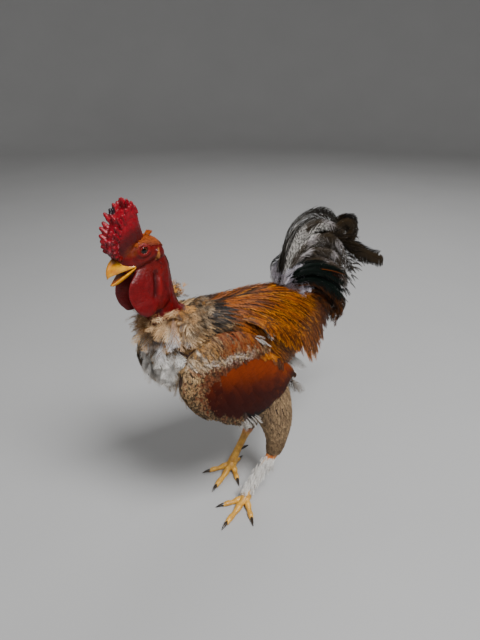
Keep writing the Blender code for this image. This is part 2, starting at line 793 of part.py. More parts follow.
def wing_rings(side, grow=0.0):
    """Rings of the wing's body across its long line."""
    along, upward = wing_axes()
    rings = []
    table = spline_rows(WING_ROWS, 13)
    last = len(table) - 1
    for k, (s, up, down, out, thick) in enumerate(table):
        shift = -grow if k == 0 else grow if k == last else 0.0
        centre = wing_point(s + shift, 0.0)
        centre.x = side * out
        outward = Vector((side, 0.0, 0.0))
        ring = egg_ring(centre, outward, upward, thick + grow, up + grow, down + grow, 16, 2.4)
        rings.append(ring if side > 0 else ring[::-1])
    return rings


def drape(tree, y, z, side, lift, fallback):
    """The place on a side surface at y, z, lifted off it, or the fallback where it ends."""
    hit = tree.ray_cast(Vector((side * 0.20, y, z)), Vector((-side, 0.0, 0.0)), 0.20)
    if hit[0] is None:
        return Vector((side * fallback, y, z))
    return Vector((side * (abs(hit[0].x) + lift), y, z))


def side_vane(tree, start, end, bow, side, lifts, half, tilt, steps):
    """A vane laid over a side surface from start to end, both as (y, z), with a bow."""
    line = []
    out = 0.05
    across = Vector((0.0, -(end[1] - start[1]), end[0] - start[0]))
    for f in VANE_STEPS[steps]:
        y = start[0] + (end[0] - start[0]) * f + across.y * bow * math.sin(math.pi * f)
        z = start[1] + (end[1] - start[1]) * f + across.z * bow * math.sin(math.pi * f)
        lift = float(np.interp(f, (0.0, 0.3, 1.0), lifts))
        place = drape(tree, y, z, side, lift, out)
        out = abs(place.x)
        line.append(place)
    normals = [Vector((side, 0.0, 0.0))] * len(line)
    return vane(line, normals, taper(steps, half), tilt * side)


def wing_edge(s):
    """How far the wing's body drops below its long line at a place along it."""
    table = np.array(WING_ROWS)
    return float(np.interp(s, table[:, 0], table[:, 2]))


def build_wing(name, side, mats, collection):
    """One folded wing: a bowed body under tiers of overlapping vanes."""
    rng = random.Random(SEED + 3)
    wing = new_object(name, skin_rings(wing_rings(side)), mats["mahogany"], collection)
    tree = surface_of([wing])
    vanes = []

    def place(start, end, bow, lifts, half, tilt, steps):
        a = wing_point(*start)
        b = wing_point(*end)
        bm = side_vane(tree, (a.y, a.z), (b.y, b.z), bow, side, lifts, half, math.radians(tilt), steps)
        vanes.append(new_object("vane", bm, None, collection))

    for k in range(3):
        f = k / 2
        start = (0.086 + 0.014 * f, -0.030 + 0.012 * f)
        end = (0.170 + 0.044 * f, -0.058 + 0.050 * f)
        place(start, end, 0.04, (-0.004, -0.0004, 0.0004), 0.0105, 7.0, 3)
    for k in range(6):
        f = k / 5
        start = (0.024 + 0.070 * f, 0.004 + 0.024 * f)
        s = 0.052 + 0.132 * f + rng.uniform(-0.002, 0.002)
        end = (s, -wing_edge(s) - 0.003)
        place(start, end, 0.05, (-0.003, 0.0012, 0.0016), 0.0146, 6.0, 4)
    for k in range(5):
        f = k / 4
        start = (0.012 + 0.086 * f, 0.044 + 0.010 * math.sin(math.pi * f))
        end = (0.032 + 0.096 * f, 0.002 + 0.020 * f)
        place(start, end, 0.03, (-0.003, 0.0030, 0.0038), 0.0132, 6.0, 3)
    boolean(wing, vanes, "UNION")
    for rings in (trunk_rings(GAP), thigh_rings("left" if side > 0 else "right", GAP)):
        boolean(wing, [new_object("cut", skin_rings(rings), None, collection)], "DIFFERENCE")
    keep_largest(wing)
    return wing


def hackle(trunk, cover, start_y, length, angles, half, lifts, tilt, steps):
    """A long feather laid round the trunk and the wings, from one angle off the top to another."""
    line = []
    normals = []
    radius = 0.0
    for f in VANE_STEPS[steps]:
        angle = angles[0] + (angles[1] - angles[0]) * f**1.15
        origin = Vector((0.0, start_y + length * f, HACKLE_AXIS_Z))
        way = Vector((math.sin(angle), 0.0, math.cos(angle)))
        tree = trunk if f == 0.0 else cover
        hit = tree.ray_cast(origin + way * 0.25, -way, 0.25)
        reach = (hit[0] - origin).length if hit[0] is not None else 0.0
        reach += float(np.interp(f, (0.0, 0.3, 1.0), lifts))
        radius = max(reach, radius * 0.965) if f > 0.0 else reach
        line.append(origin + way * radius)
        normals.append(way)
    return vane(line, normals, taper(steps, half), tilt)


def build_torso(mats, collection, rng, wings):
    """The trunk with its cape over the shoulders and its long saddle hackles."""
    torso = new_object("torso", skin_rings(trunk_rings()), mats["gold"], collection)
    trunk = surface_of([torso])
    cover = surface_of([torso] + wings)
    grown = [grown_copy(wing, GAP, collection) for wing in wings]
    covers = [surface_of([wing]) for wing in grown]
    vanes = []
    for tier, (start_y, count) in enumerate(SADDLE_TIERS):
        for k in range(count):
            f = -1 + 2 * k / (count - 1)
            if tier == 2 and abs(f) < 0.45:
                continue
            angles = [math.radians(f * 50.0), math.radians(f * 112.0)]
            length = 0.074 + rng.uniform(-0.003, 0.003)
            if abs(f) < 0.3:
                length = min(length, SADDLE_END_Y - start_y)
            lifts = (-0.004, 0.0034 + 0.0008 * tier, 0.0052)
            tilt = math.radians(rng.uniform(-5.0, 5.0))
            bm = hackle(trunk, cover, start_y, length, angles, 0.0118, lifts, tilt, 4)
            vanes.append(new_object("vane", bm, None, collection))
    for start_y, count in CAPE_TIERS:
        for k in range(count):
            turn = math.radians(-50.0 + 100.0 * k / (count - 1)) + rng.uniform(-0.03, 0.03)
            lifts = (-0.004, 0.0042, 0.0062)
            tilt = math.radians(rng.uniform(-6.0, 6.0))
            bm = hackle(trunk, cover, start_y, 0.042, (turn, turn * 1.1), 0.0130, lifts, tilt, 3)
            vanes.append(new_object("vane", bm, None, collection))
    for piece in vanes:
        for wing, wing_tree in zip(grown, covers):
            if surface_of([piece]).overlap(wing_tree):
                cutter = wing.copy()
                cutter.data = wing.data.copy()
                collection.objects.link(cutter)
                boolean(piece, [cutter], "DIFFERENCE")
    for wing in grown:
        bpy.data.objects.remove(wing)
    boolean(torso, vanes, "UNION")
    neck = new_object("cut", skin_rings(neck_rings(GAP)[:8]), None, collection)
    boolean(torso, [neck], "DIFFERENCE")
    keep_largest(torso)
    return torso


def tail_rings(grow=0.0):
    """Rings of the tail's short fleshy root, leaning up and back."""
    way = Vector((0.0, 0.62, 0.78)).normalized()
    up = Vector((1.0, 0.0, 0.0)).cross(way)
    rings = []
    middle = TAIL_FRONT.lerp(TAIL_REAR, 0.5) - way * 0.004
    for reach, across, tall in TAIL_ROWS:
        centre = middle + way * reach
        rings.append(egg_ring(centre, Vector((1.0, 0.0, 0.0)), up, across + grow, tall + grow, tall + grow, 14))
    return rings


def plume_line(index, side, turn, size):
    """Points down the middle of one tail feather."""
    first, last, _, _, spread = TAIL_PLUMES[index]
    steps = 5 if index == 0 else 4
    power = 1.8 if index == 0 else 1.3
    root = TAIL_FRONT.lerp(TAIL_REAR, index / (len(TAIL_PLUMES) - 1))
    line = [root + Vector((side * 0.004, 0.0, 0.0))]
    places = VANE_STEPS[steps]
    for before, after in zip(places, places[1:]):
        angle = math.radians(first + turn + (last - first) * ((before + after) / 2) ** power)
        move = Vector((0.0, math.cos(angle), math.sin(angle))) * size * (after - before)
        move.x = side * spread * (after - before)
        line.append(line[-1] + move)
    return line


def build_tail(mats, collection, rng):
    """The tail: a short root under plumes that fan from upright to level."""
    tail = new_object("tail", skin_rings(tail_rings()), mats["tail"], collection)
    plumes = []
    for index, (first, last, length, half, spread) in enumerate(TAIL_PLUMES):
        for side in (-1.0, 1.0):
            line = plume_line(index, side, rng.uniform(-3.0, 3.0), length * rng.uniform(0.95, 1.03))
            normal = Vector((side, 0.0, 0.15 + 0.07 * index))
            widths = taper(len(line) - 1, half, 0.5, 0.9)
            bm = vane(line, [normal] * len(line), widths)
            plumes.append(new_object("plume", bm, None, collection))
    for k in range(3):
        for side in (-1.0, 1.0):
            angle = math.radians(58.0 - 36.0 * k + rng.uniform(-4.0, 4.0))
            root = TAIL_FRONT.lerp(TAIL_REAR, 0.10 + 0.36 * k) + Vector((side * 0.010, 0.0, 0.0))
            way = Vector((side * 0.20, math.cos(angle), math.sin(angle))).normalized()
            size = rng.uniform(0.052, 0.064)
            line = [root + way * size * g + Vector((0.0, 0.0, -0.012 * g * g)) for g in VANE_STEPS[3]]
            normal = Vector((side, 0.0, 0.25))
            bm = vane(line, [normal] * 4, taper(3, 0.0095))
            plumes.append(new_object("plume", bm, None, collection))
    boolean(tail, plumes, "UNION")
    boolean(tail, [new_object("cut", skin_rings(trunk_rings(GAP)), None, collection)], "DIFFERENCE")
    keep_largest(tail)
    return tail


def side_sign(name):
    """+1 for the bird's left, -1 for its right."""
    return 1.0 if name == "left" else -1.0


def thigh_rings(name, grow=0.0):
    """Rings of one feathered thigh, from the hip down to the hock."""
    rings = []
    for z, ahead, deep, wide in spline_rows(THIGH_ROWS, 9):
        x = side_sign(name) * (STANCE_HALF - 0.05 * max(0.0, z - 0.12))
        centre = Vector((x, HOCK_Y[name] + ahead, z))
        side = Vector((1.0, 0.0, 0.0))
        fore = Vector((0.0, -1.0, 0.0))
        rings.append(egg_ring(centre, side, fore, wide + grow, deep + grow, deep + grow, 14, 2.0))
    return rings


def build_thigh(name, mats, collection):
    """One thigh, parted from the trunk."""
    thigh = new_object("thigh_" + name, skin_rings(thigh_rings(name)), mats["stipple"], collection)
    boolean(thigh, [new_object("cut", skin_rings(trunk_rings(GAP)), None, collection)], "DIFFERENCE")
    keep_largest(thigh)
    return thigh


def shank_line(name):
    """The hock and the ankle of one leg."""
    x = side_sign(name) * STANCE_HALF
    hock = Vector((x, HOCK_Y[name], HOCK_Z))
    ankle = Vector((x, FOOT_Y[name], ANKLE_Z))
    return hock, ankle


def shank_rings(name, grow=0.0):
    """Rings of one bare shank, from under the thigh to the ankle."""
    hock, ankle = shank_line(name)
    way = (ankle - hock).normalized()
    side = Vector((1.0, 0.0, 0.0))
    up = side.cross(way)
    rings = []
    for share, deep, wide in spline_rows(SHANK_ROWS, 7):
        centre = hock.lerp(ankle, share)
        rings.append(egg_ring(centre, side, up, wide + grow, deep + grow, deep + grow, 12))
    return rings


def build_shank(name, mats, collection):
    """One bare shank, cut level under the thigh and parted from the foot."""
    shank = new_object("shank_" + name, skin_rings(shank_rings(name)), mats["leg"], collection)
    thigh = new_object("cut", skin_rings(thigh_rings(name, GAP)), None, collection)
    boolean(shank, [thigh], "DIFFERENCE")
    keep_largest(shank)
    return shank


def toe_way(name, angle):
    """The level direction of a toe, its angle counted outward from the foot's heading."""
    turn = math.radians(FOOT_HEADING[name])
    turn += side_sign(name) * math.radians(-angle)
    return Vector((math.sin(turn), -math.cos(turn), 0.0))


def toe_line(name, angle, length, radius):
    """Points and radii of one toe, which arches a little and lies flat at its end."""
    _, ankle = shank_line(name)
    centre = Vector((ankle.x, ankle.y, 0.0))
    way = toe_way(name, angle)
    points = []
    radii = []
    for k in range(6):
        f = k / 5
        knuckle = 1.0 + 0.12 * math.cos(f * 5 * math.pi)
        size = radius * (1.0 - 0.34 * f) * knuckle
        height = size * 0.80 + 0.0055 * max(0.0, 1 - f * 2.2)
        points.append(centre + way * (length * f) + Vector((0.0, 0.0, height)))
        radii.append(size)
    return points, radii


def floor_cutter(collection):
    """A slab just below the floor, which flattens the soles."""
    bm = bmesh.new()
    bmesh.ops.create_cube(bm, size=0.4)
    bmesh.ops.translate(bm, vec=Vector((0.0, 0.0, -0.2)), verts=bm.verts)
    return new_object("floor_cutter", bm, None, collection)


def claw_root(name, angle, length, radius):
    """Where a claw leaves its toe and which way it points."""
    points, radii = toe_line(name, angle, length, radius)
    return points[-1], toe_way(name, angle), radii[-1]


def claw_rings(name, toe):
    """Rings of one claw, curved down to just above the floor."""
    _, angle, length, radius = toe
    root, way, thick = claw_root(name, angle, length, radius)
    size = CLAW_LENGTH * (0.8 if toe[0] == "hind" else 1.0)
    points = []
    radii = []
    for f, share in ((0.04, 0.84), (0.35, 0.66), (0.70, 0.42), (1.0, 0.16)):
        lift = 0.0007 - 0.0016 * f * f
        points.append(root + way * (size * f) + Vector((0.0, 0.0, lift)))
        radii.append(thick * share)
    return tube_rings(points, radii, 6)


def build_foot(name, mats, collection):
    """One foot: four padded toes joined at the ankle, flat on the floor."""
    _, ankle = shank_line(name)
    pad = ball(Vector((ankle.x, ankle.y, 0.0062)), (0.0100, 0.0105, 0.0085), 10, 7)
    foot = new_object("foot_" + name, pad, mats["leg"], collection)
    toes = []
    for _, angle, length, radius in TOES:
        points, radii = toe_line(name, angle, length, radius)
        toes.append(new_object("toe", skin_rings(tube_rings(points, radii, 8)), None, collection))
    boolean(foot, toes, "UNION")
    boolean(foot, [floor_cutter(collection)], "DIFFERENCE")
    grown = new_object("cut", skin_rings(shank_rings(name, GAP)), None, collection)
    boolean(foot, [grown], "DIFFERENCE")
    keep_largest(foot)
    return foot


def build_claws(name, mats, collection):
    """The four claws of one foot and the spur of its shank."""
    for toe in TOES:
        claw = new_object(
            "claw_" + name + "_" + toe[0], skin_rings(claw_rings(name, toe)), mats["horn"], collection
        )
        keep_largest(claw)
    hock, ankle = shank_line(name)
    root = hock.lerp(ankle, 0.66)
    way = Vector((-side_sign(name) * 0.62, 0.76, -0.10)).normalized()
    points = []
    radii = []
    for f, share in ((0.12, 1.0), (0.35, 0.86), (0.65, 0.58), (0.9, 0.26), (1.0, 0.08)):
        points.append(root + way * (0.0035 + SPUR_LENGTH * f) + Vector((0.0, 0.0, 0.003 * f * f)))
        radii.append(0.0036 * share)
    spur = new_object("spur_" + name, skin_rings(tube_rings(points, radii, 7)), mats["horn"], collection)
    grown = new_object("cut", skin_rings(shank_rings(name, GAP)), None, collection)
    boolean(spur, [grown], "DIFFERENCE")
    keep_largest(spur)


def build_eyes(mats, collection):
    """Both eyeballs in their sockets."""
    for name in ("left", "right"):
        forward, up, out = EYE_AT
        centre = in_head(forward, up, side_sign(name) * out)
        bm = ball(centre, (EYE_RADIUS,) * 3, 12, 8)
        new_object("eye_" + name, bm, mats["eye"], collection)


def centre_on_floor(collection):
    """Moves the whole bird so that its box stands centred over the origin."""
    for obj in collection.objects:
        obj.data.transform(Matrix.Translation(-MIDDLE))


def build_rooster():
    """Builds every piece of the bird."""
    clear_scene()
    rng = random.Random(SEED)
    collection = bpy.data.collections.new("naked_neck_rooster")
    bpy.context.scene.collection.children.link(collection)
    mats = {}
    for name in COLOURS:
        mats[name] = make_material(name, 0.35 if name in ("eye", "bill", "horn") else 0.7)
    build_head(mats, collection)
    build_bill("bill_upper", BILL_UPPER_ROWS, True, mats, collection)
    build_bill("bill_lower", BILL_LOWER_ROWS, False, mats, collection)
    build_comb(mats, collection, rng)
    build_eyes(mats, collection)
    for name in ("left", "right"):
        build_wattle("wattle_" + name, side_sign(name), mats, collection)
        build_earlobe("earlobe_" + name, side_sign(name), mats, collection)
    build_neck(mats, collection)
    build_ruff(mats, collection, rng)
    wings = [build_wing("wing_" + name, side_sign(name), mats, collection) for name in ("left", "right")]
    build_torso(mats, collection, rng, wings)
    build_tail(mats, collection, rng)
    for name in ("left", "right"):
        build_thigh(name, mats, collection)
        build_shank(name, mats, collection)
        build_foot(name, mats, collection)
        build_claws(name, mats, collection)
    centre_on_floor(collection)


build_rooster()
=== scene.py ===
"""A standing naked-neck rooster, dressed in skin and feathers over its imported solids.

Everything is laid out in the bird's design frame: it faces -Y, its left side is +X, the
floor is z = 0 and the origin lies between its feet. Perch.settle moves each piece from there
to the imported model's own place.
"""
import logging
import math
from dataclasses import dataclass, field
from enum import Enum
from itertools import product
from typing import Callable, Sequence

import bmesh
import bpy
import numpy as np
from mathutils import Matrix, Vector, noise
from mathutils.bvhtree import BVHTree

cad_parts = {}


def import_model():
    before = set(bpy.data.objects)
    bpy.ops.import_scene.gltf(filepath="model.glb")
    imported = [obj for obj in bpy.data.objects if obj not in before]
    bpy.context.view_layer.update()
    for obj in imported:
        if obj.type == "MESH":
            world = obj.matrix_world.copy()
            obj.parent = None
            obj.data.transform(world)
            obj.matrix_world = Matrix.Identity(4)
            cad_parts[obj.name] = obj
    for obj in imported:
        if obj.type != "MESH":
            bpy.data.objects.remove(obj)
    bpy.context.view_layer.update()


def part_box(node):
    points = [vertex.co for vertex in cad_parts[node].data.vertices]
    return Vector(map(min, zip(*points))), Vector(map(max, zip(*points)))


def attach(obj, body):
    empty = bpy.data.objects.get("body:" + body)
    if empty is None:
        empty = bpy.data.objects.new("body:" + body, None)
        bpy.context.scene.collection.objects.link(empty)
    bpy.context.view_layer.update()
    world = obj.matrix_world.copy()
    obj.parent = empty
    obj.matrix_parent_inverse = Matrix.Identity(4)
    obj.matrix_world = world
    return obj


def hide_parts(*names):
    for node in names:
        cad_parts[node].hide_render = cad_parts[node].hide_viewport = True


LOG = logging.getLogger("rooster")
Array = np.ndarray
Chance = np.random.Generator
seeded = np.random.default_rng
Piece = bpy.types.Object
Surface = bpy.types.Material
Rows = Sequence[Sequence[float]]
Span = tuple[float, float]
Courses = Sequence[tuple[str, float, float, Rows]]
Paint = Callable[["Batch", Chance], Array]
Lie = Callable[[Array, Array], Array]

MM = 1000.0
CREST = 0.25  # share around a form at its top
ACROSS = np.array((1.0, 0.0, 0.0))
HEAD_AT = np.array((0.0, -0.135, 0.42))
HEAD_DROP = math.radians(25.0)
EYE_AT = (0.001, 0.006, 0.0127)
EYE_RADIUS = 0.0056
GAPE = (0.0175, -0.0058)
MOUTH_UPPER_SLOPE = 0.16
MOUTH_LOWER_SLOPE = -0.21
INK = {
    "gold": "#a05c0e", "flame": "#d08a20", "streak": "#3c1804", "cream": "#cdb088", "tan": "#9c7444",
    "umber": "#3c2a1a", "soot": "#17120e", "mahogany": "#3c0f02", "rust": "#8c3c06", "maroon": "#3a0d0a",
    "green": "#0c1f18", "violet": "#241a38", "ash": "#746a5e", "frost": "#d6d2cc", "olive": "#5a5242",
}


class Side(Enum):
    """The bird's own left or right, with its direction along X."""

    LEFT = 1.0
    RIGHT = -1.0

    @property
    def word(self) -> str:
        """The side as it stands in the node names."""
        return self.name.lower()


def linear(code: str) -> Array:
    """Turns an sRGB hex colour to linear light.

    Args:
        code: Six hex digits after a hash.

    Returns:
        Red, green and blue from 0 to 1.
    """
    srgb = np.array([int(code[k : k + 2], 16) for k in (1, 3, 5)]) / 255.0
    return np.where(srgb <= 0.04045, srgb / 12.92, ((srgb + 0.055) / 1.055) ** 2.4)


def mm(value: tuple | str | float) -> tuple | str | float:
    """Millimetres to metres, through nested rows and past names.

    Args:
        value: A length, a name, or rows of them.

    Returns:
        The same in metres.
    """
    if isinstance(value, tuple):
        return tuple(mm(v) for v in value)
    return value if isinstance(value, str) else value / MM


def vec(x: float, y: float, z: float) -> Array:
    """A place or direction in space."""
    return np.array((x, y, z), dtype=float)


def beside(*columns: Array) -> Array:
    """Sets rows of numbers beside each other as columns."""
    return np.stack(columns, axis=1)


def unit(vectors: Array) -> Array:
    """Scales vectors along the last axis to length one."""
    return vectors / np.maximum(np.linalg.norm(vectors, axis=-1, keepdims=True), 1e-9)


def through(rows: Rows, count: int) -> Array:
    """Reads points evenly from a smooth curve through some rows.

    Args:
        rows: The rows that the curve passes through.
        count: How many rows to read.

    Returns:
        An array of count rows.
    """
    table = np.array(rows, dtype=float)
    padded = np.vstack([2 * table[0] - table[1], table, 2 * table[-1] - table[-2]])
    out = []
    for step in np.linspace(0.0, len(table) - 1.0, count):
        i = min(int(step), len(table) - 2)
        f = step - i
        a, b, c, d = padded[i : i + 4]
        curve = 2 * b + (c - a) * f + (2 * a - 5 * b + 4 * c - d) * f**2
        out.append(0.5 * (curve + (3 * b - a - 3 * c + d) * f**3))
    return np.array(out)


def head_place(forward: float, up: float, out: float = 0.0) -> Array:
    """A place given along the bill, up from it and out to the side of the head's middle."""
    return HEAD_AT + head_way(forward, up, out)


def head_way(forward: float, up: float, out: float = 0.0) -> Array:
    """A direction given in the head's own axes."""
    c, s = math.cos(HEAD_DROP), math.sin(HEAD_DROP)
    return vec(out, -forward * c - up * s, -forward * s + up * c)


def dye(tone: Array | str) -> Array:
    """A colour as it is, or read from its hex value or its name among the plumage's markings."""
    return linear(INK.get(tone, tone)) if isinstance(tone, str) else tone


def blend(low: Array | str, high: Array | str, share: Array) -> Array:
    """Mixes two colours, or two arrays of them, by a share for each row."""
    share = np.clip(share, 0.0, 1.0)[..., None]
    return dye(low) * (1 - share) + dye(high) * share


def ramp(value: Array, start: float, end: float) -> Array:
    """A smooth step from 0 at start to 1 at end."""
    f = np.clip((value - start) / (end - start), 0.0, 1.0)
    return f * f * (3 - 2 * f)


def fade(value: Array, start: float, end: float) -> Array:
    """A smooth step from 1 at start to 0 at end."""
    return 1 - ramp(value, start, end)


def layered(ground: Array | str, *coats: tuple[Array | str, Array]) -> Array:
    """Lays tones over a ground, one after another.

    Args:
        ground: The lowest colour, one or one a row.
        *coats: Each a tone and its share for each row.

    Returns:
        A colour for each row.
    """
    for tone, share in coats:
        ground = blend(ground, tone, share)
    return ground


def add_node(tree: bpy.types.NodeTree, kind: str, sockets: dict | None = None, **settings) -> bpy.types.Node:
    """Adds a shader node with its settings, values and links.

    Args:
        tree: The node tree.
        kind: The node's type name.
        sockets: Values by input name or number; an output socket is linked instead.
        **settings: Attributes of the node.

    Returns:
        The new node.
    """
    node = tree.nodes.new(kind)
    for key, value in settings.items():
        setattr(node, key, value)
    for key, value in (sockets or {}).items():
        if isinstance(value, bpy.types.NodeSocket):
            tree.links.new(value, node.inputs[key])
        else:
            node.inputs[key].default_value = value
    return node


@dataclass(frozen=True)
class Finish:
    """A surface whose own markings lie under a fine grain that lifts it and paints shade and highlight into
    its colour.

    Pigment lies under clear keratin or skin and looks deeper than it is painted, hence its power.
    """

    name: str
    roughness: float = 0.5
    coat: float = 0.0
    grain_mm: float = 1.0
    relief: float = 0.35
    ior: float = 1.54
    span: Span = (0.72, 1.22)
    pigment: float = 1.3
    gloss: float = 0.5

    def grain(self, tree: bpy.types.NodeTree) -> bpy.types.NodeSocket:
        """The grain's height, from 0 to 1.

        Args:
            tree: The material's node tree.

        Returns:
            The socket that gives it.
        """
        place = add_node(tree, "ShaderNodeTexCoord")
        sockets = {"Vector": place.outputs["Object"], "Scale": MM / self.grain_mm, "Detail": 3.0}
        return add_node(tree, "ShaderNodeTexNoise", sockets).outputs[0]

    def make(self) -> Surface:
        """Builds the material; its colours come from the markings of each piece.

        Returns:
            The material.
        """
        mat = bpy.data.materials.new(self.name)
        mat.use_nodes = True
        tree = mat.node_tree
        shader = tree.nodes["Principled BSDF"]
        shader.inputs["Roughness"].default_value = self.roughness
        shader.inputs["IOR"].default_value = self.ior
        shader.inputs["Specular IOR Level"].default_value = self.gloss
        shader.inputs["Coat Weight"].default_value = self.coat
        shader.inputs["Coat Roughness"].default_value = 0.22
        height = self.grain(tree)
        marks = add_node(tree, "ShaderNodeAttribute", attribute_name="markings")
        deep = add_node(tree, "ShaderNodeGamma", {"Color": marks.outputs["Color"], "Gamma": self.pigment})
        # Painted shade and highlight: the grain's height scales the colour, darker in its hollows, brighter
        # on its crowns.
        dark, bright = self.span
        sockets = {"Value": height, "From Min": 0.3, "From Max": 0.7, "To Min": dark, "To Max": bright}
        light = add_node(tree, "ShaderNodeMapRange", sockets)
        sockets = {0: deep.outputs[0], "Scale": light.outputs[0]}
        tone = add_node(tree, "ShaderNodeVectorMath", sockets, operation="SCALE")
        sockets = {"Height": height, "Strength": self.relief, "Distance": 0.0004}
        bump = add_node(tree, "ShaderNodeBump", sockets)
        tree.links.new(tone.outputs[0], shader.inputs["Base Color"])
        tree.links.new(bump.outputs[0], shader.inputs["Normal"])
        return mat


@dataclass(frozen=True)
class Keratin(Finish):
    """Feather vane: hooked barbs side by side, glossy where they lie tight, dull where frayed.

    The barbs are 0.3 mm apart in life and are drawn three times as coarse, to show at all.
    """

    def grain(self, tree: bpy.types.NodeTree) -> bpy.types.NodeSocket:
        """Fine lines slanting out from the shaft.

        Args:
            tree: The material's node tree.

        Returns:
            The socket that gives their height.
        """
        vane = add_node(tree, "ShaderNodeUVMap", uv_map="vane")
        sockets = {"Vector": vane.outputs[0], "Scale": (1.0, 1.0 / self.grain_mm, 1.0)}
        barbs = add_node(tree, "ShaderNodeMapping", sockets)
        sockets = {"Vector": barbs.outputs[0], "Scale": 1.0, "Detail": 2.0}
        return add_node(tree, "ShaderNodeTexNoise", sockets).outputs[0]


@dataclass(frozen=True)
class BareSkin(Finish):
    """Living skin full of blood: soft, pebbled with papillae 1 to 2 mm across, a little moist."""

    def grain(self, tree: bpy.types.NodeTree) -> bpy.types.NodeSocket:
        """Round papillae.

        Args:
            tree: The material's node tree.

        Returns:
            The socket that gives their height.
        """
        place = add_node(tree, "ShaderNodeTexCoord")
        sockets = {"Vector": place.outputs["Object"], "Scale": MM / self.grain_mm}
        cells = add_node(tree, "ShaderNodeTexVoronoi", sockets, feature="F1")
        sockets = {0: 1.0, 1: cells.outputs["Distance"]}
        return add_node(tree, "ShaderNodeMath", sockets, operation="SUBTRACT").outputs[0]


@dataclass(frozen=True)
class Horn(Finish):
    """Polished horn sheath and scale: smooth layers with a waxy gloss and a faint cloudiness."""


@dataclass
class Perch:
    """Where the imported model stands, and the one way by which pieces join it."""

    shift: Array

    @classmethod
    def from_model(cls) -> "Perch":
        """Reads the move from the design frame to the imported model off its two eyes.

        Returns:
            The perch.
        """
        corners = [np.array(c) for word in ("left", "right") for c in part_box("eye_" + word)]
        middle = sum(corners) / 4
        eye = head_place(EYE_AT[0], EYE_AT[1])
        return cls(middle - eye)

    def settle(self, obj: Piece, slot: str, nodes: Sequence[str] = ()) -> Piece:
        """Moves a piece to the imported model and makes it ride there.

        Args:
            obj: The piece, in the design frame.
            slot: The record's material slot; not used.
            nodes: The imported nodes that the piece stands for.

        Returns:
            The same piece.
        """
        obj.name = obj.name.replace(" ", "_")
        obj.data.transform(Matrix.Translation(Vector(self.shift)))
        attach(obj, "root")
        if nodes:
            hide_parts(*nodes)
        LOG.info("%s: %d faces", obj.name, len(obj.data.polygons))
        return obj


class Form:
    """A closed tube of rings that is read by its share around and its share along."""

    def __init__(self, rings: Array) -> None:
        """Keeps the rings, an array of rows by points around by three.

        Args:
            rings: Points by row, around and axis.
        """
        self.rings = rings
        self.inward = False
        centre = rings.mean(axis=(0, 1))
        corners = rings.reshape(-1, 3)[self.quads()]
        facing = np.cross(corners[:, 2] - corners[:, 0], corners[:, 3] - corners[:, 1])
        self.inward = float(((corners.mean(axis=1) - centre) * facing).sum()) < 0
        self.tree = BVHTree.FromPolygons([Vector(p) for p in rings.reshape(-1, 3)], self.quads().tolist())

    @classmethod
    def egg(
        cls, centres: Array, side: Array, ups: Array, sizes: Array, count: int, power: float = 2.0,
    ) -> "Form":
        """Lofts rounded rings.

        Args:
            centres: Middle of each ring.
            side: Direction across, one or one a ring.
            ups: Direction up, one or one a ring.
            sizes: Half width, rise and drop of each ring.
            count: Points around.
            power: 2 for round, more for squarer.

        Returns:
            The form.
        """
        angle = np.linspace(0, 2 * math.pi, count, endpoint=False)
        c, s = np.cos(angle), np.sin(angle)
        across = np.sign(c) * np.abs(c) ** (2 / power)
        height = np.sign(s) * np.abs(s) ** (2 / power)
        side = np.broadcast_to(side, centres.shape)
        ups = np.broadcast_to(ups, centres.shape)
        tall = np.where(s > 0, sizes[:, 1:2], sizes[:, 2:3]) * height
        wide = side[:, None] * (sizes[:, :1] * across)[..., None]
        return cls(centres[:, None] + wide + ups[:, None] * tall[..., None])

    @classmethod
    def tube(
        cls, points: Array, radii: Array, count: int, hint: Sequence[float] = (0, 0, 1), flat: float = 1.0,
    ) -> "Form":
        """Lofts round rings along a line.

        Args:
            points: The line.
            radii: Radius at each point.
            count: Points around.
            hint: A direction that the line never takes.
            flat: Height over width.

        Returns:
            The form.
        """
        tangent = unit(np.gradient(points, axis=0))
        side = unit(np.cross(tangent, np.array(hint, dtype=float)))
        ups = unit(np.cross(side, tangent))
        sizes = beside(radii, radii * flat, radii * flat)
        return cls.egg(points, side, ups, sizes, count)

    def quads(self) -> Array:
        """Corner numbers of the side faces.

        Returns:
            Four a row, all turning outward.
        """
        rows, count = self.rings.shape[:2]
        k = np.arange(count)
        base = np.arange(rows - 1)[:, None] * count
        a, b = base + k, base + (k + 1) % count
        order = [a, a + count, b + count, b] if self.inward else [a, b, b + count, a + count]
        return np.stack(order, axis=-1).reshape(-1, 4)

    def at(self, u: Array, v: Array) -> Array:
        """Points at shares around and along.

        Args:
            u: Shares around.
            v: Shares along.

        Returns:
            The points, one a row.
        """
        rows, count = self.rings.shape[:2]
        x = (np.asarray(u) % 1.0) * count
        y = np.clip(np.asarray(v), 0.0, 1.0) * (rows - 1)
        i, j = x.astype(int) % count, np.minimum(y.astype(int), rows - 2)
        fx, fy = (x - x.astype(int))[..., None], (y - j)[..., None]
        n = (i + 1) % count
        low = self.rings[j, i] * (1 - fx) + self.rings[j, n] * fx
        high = self.rings[j + 1, i] * (1 - fx) + self.rings[j + 1, n] * fx
        return low * (1 - fy) + high * fy

    def solid(self, name: str) -> Piece:
        """A closed mesh object of the form.

        Args:
            name: The object's name.

        Returns:
            The object.
        """
        bm = bmesh.new()
        loops = [[bm.verts.new(p) for p in ring] for ring in self.rings]
        for first, second in zip(loops, loops[1:]):
            for k in range(len(first)):
                n = (k + 1) % len(first)
                bm.faces.new((first[k], first[n], second[n], second[k]))
        for loop in (loops[0], loops[-1]):
            bm.faces.new(loop)
        bmesh.ops.recalc_face_normals(bm, faces=bm.faces)
        return mesh_object(name, bm)


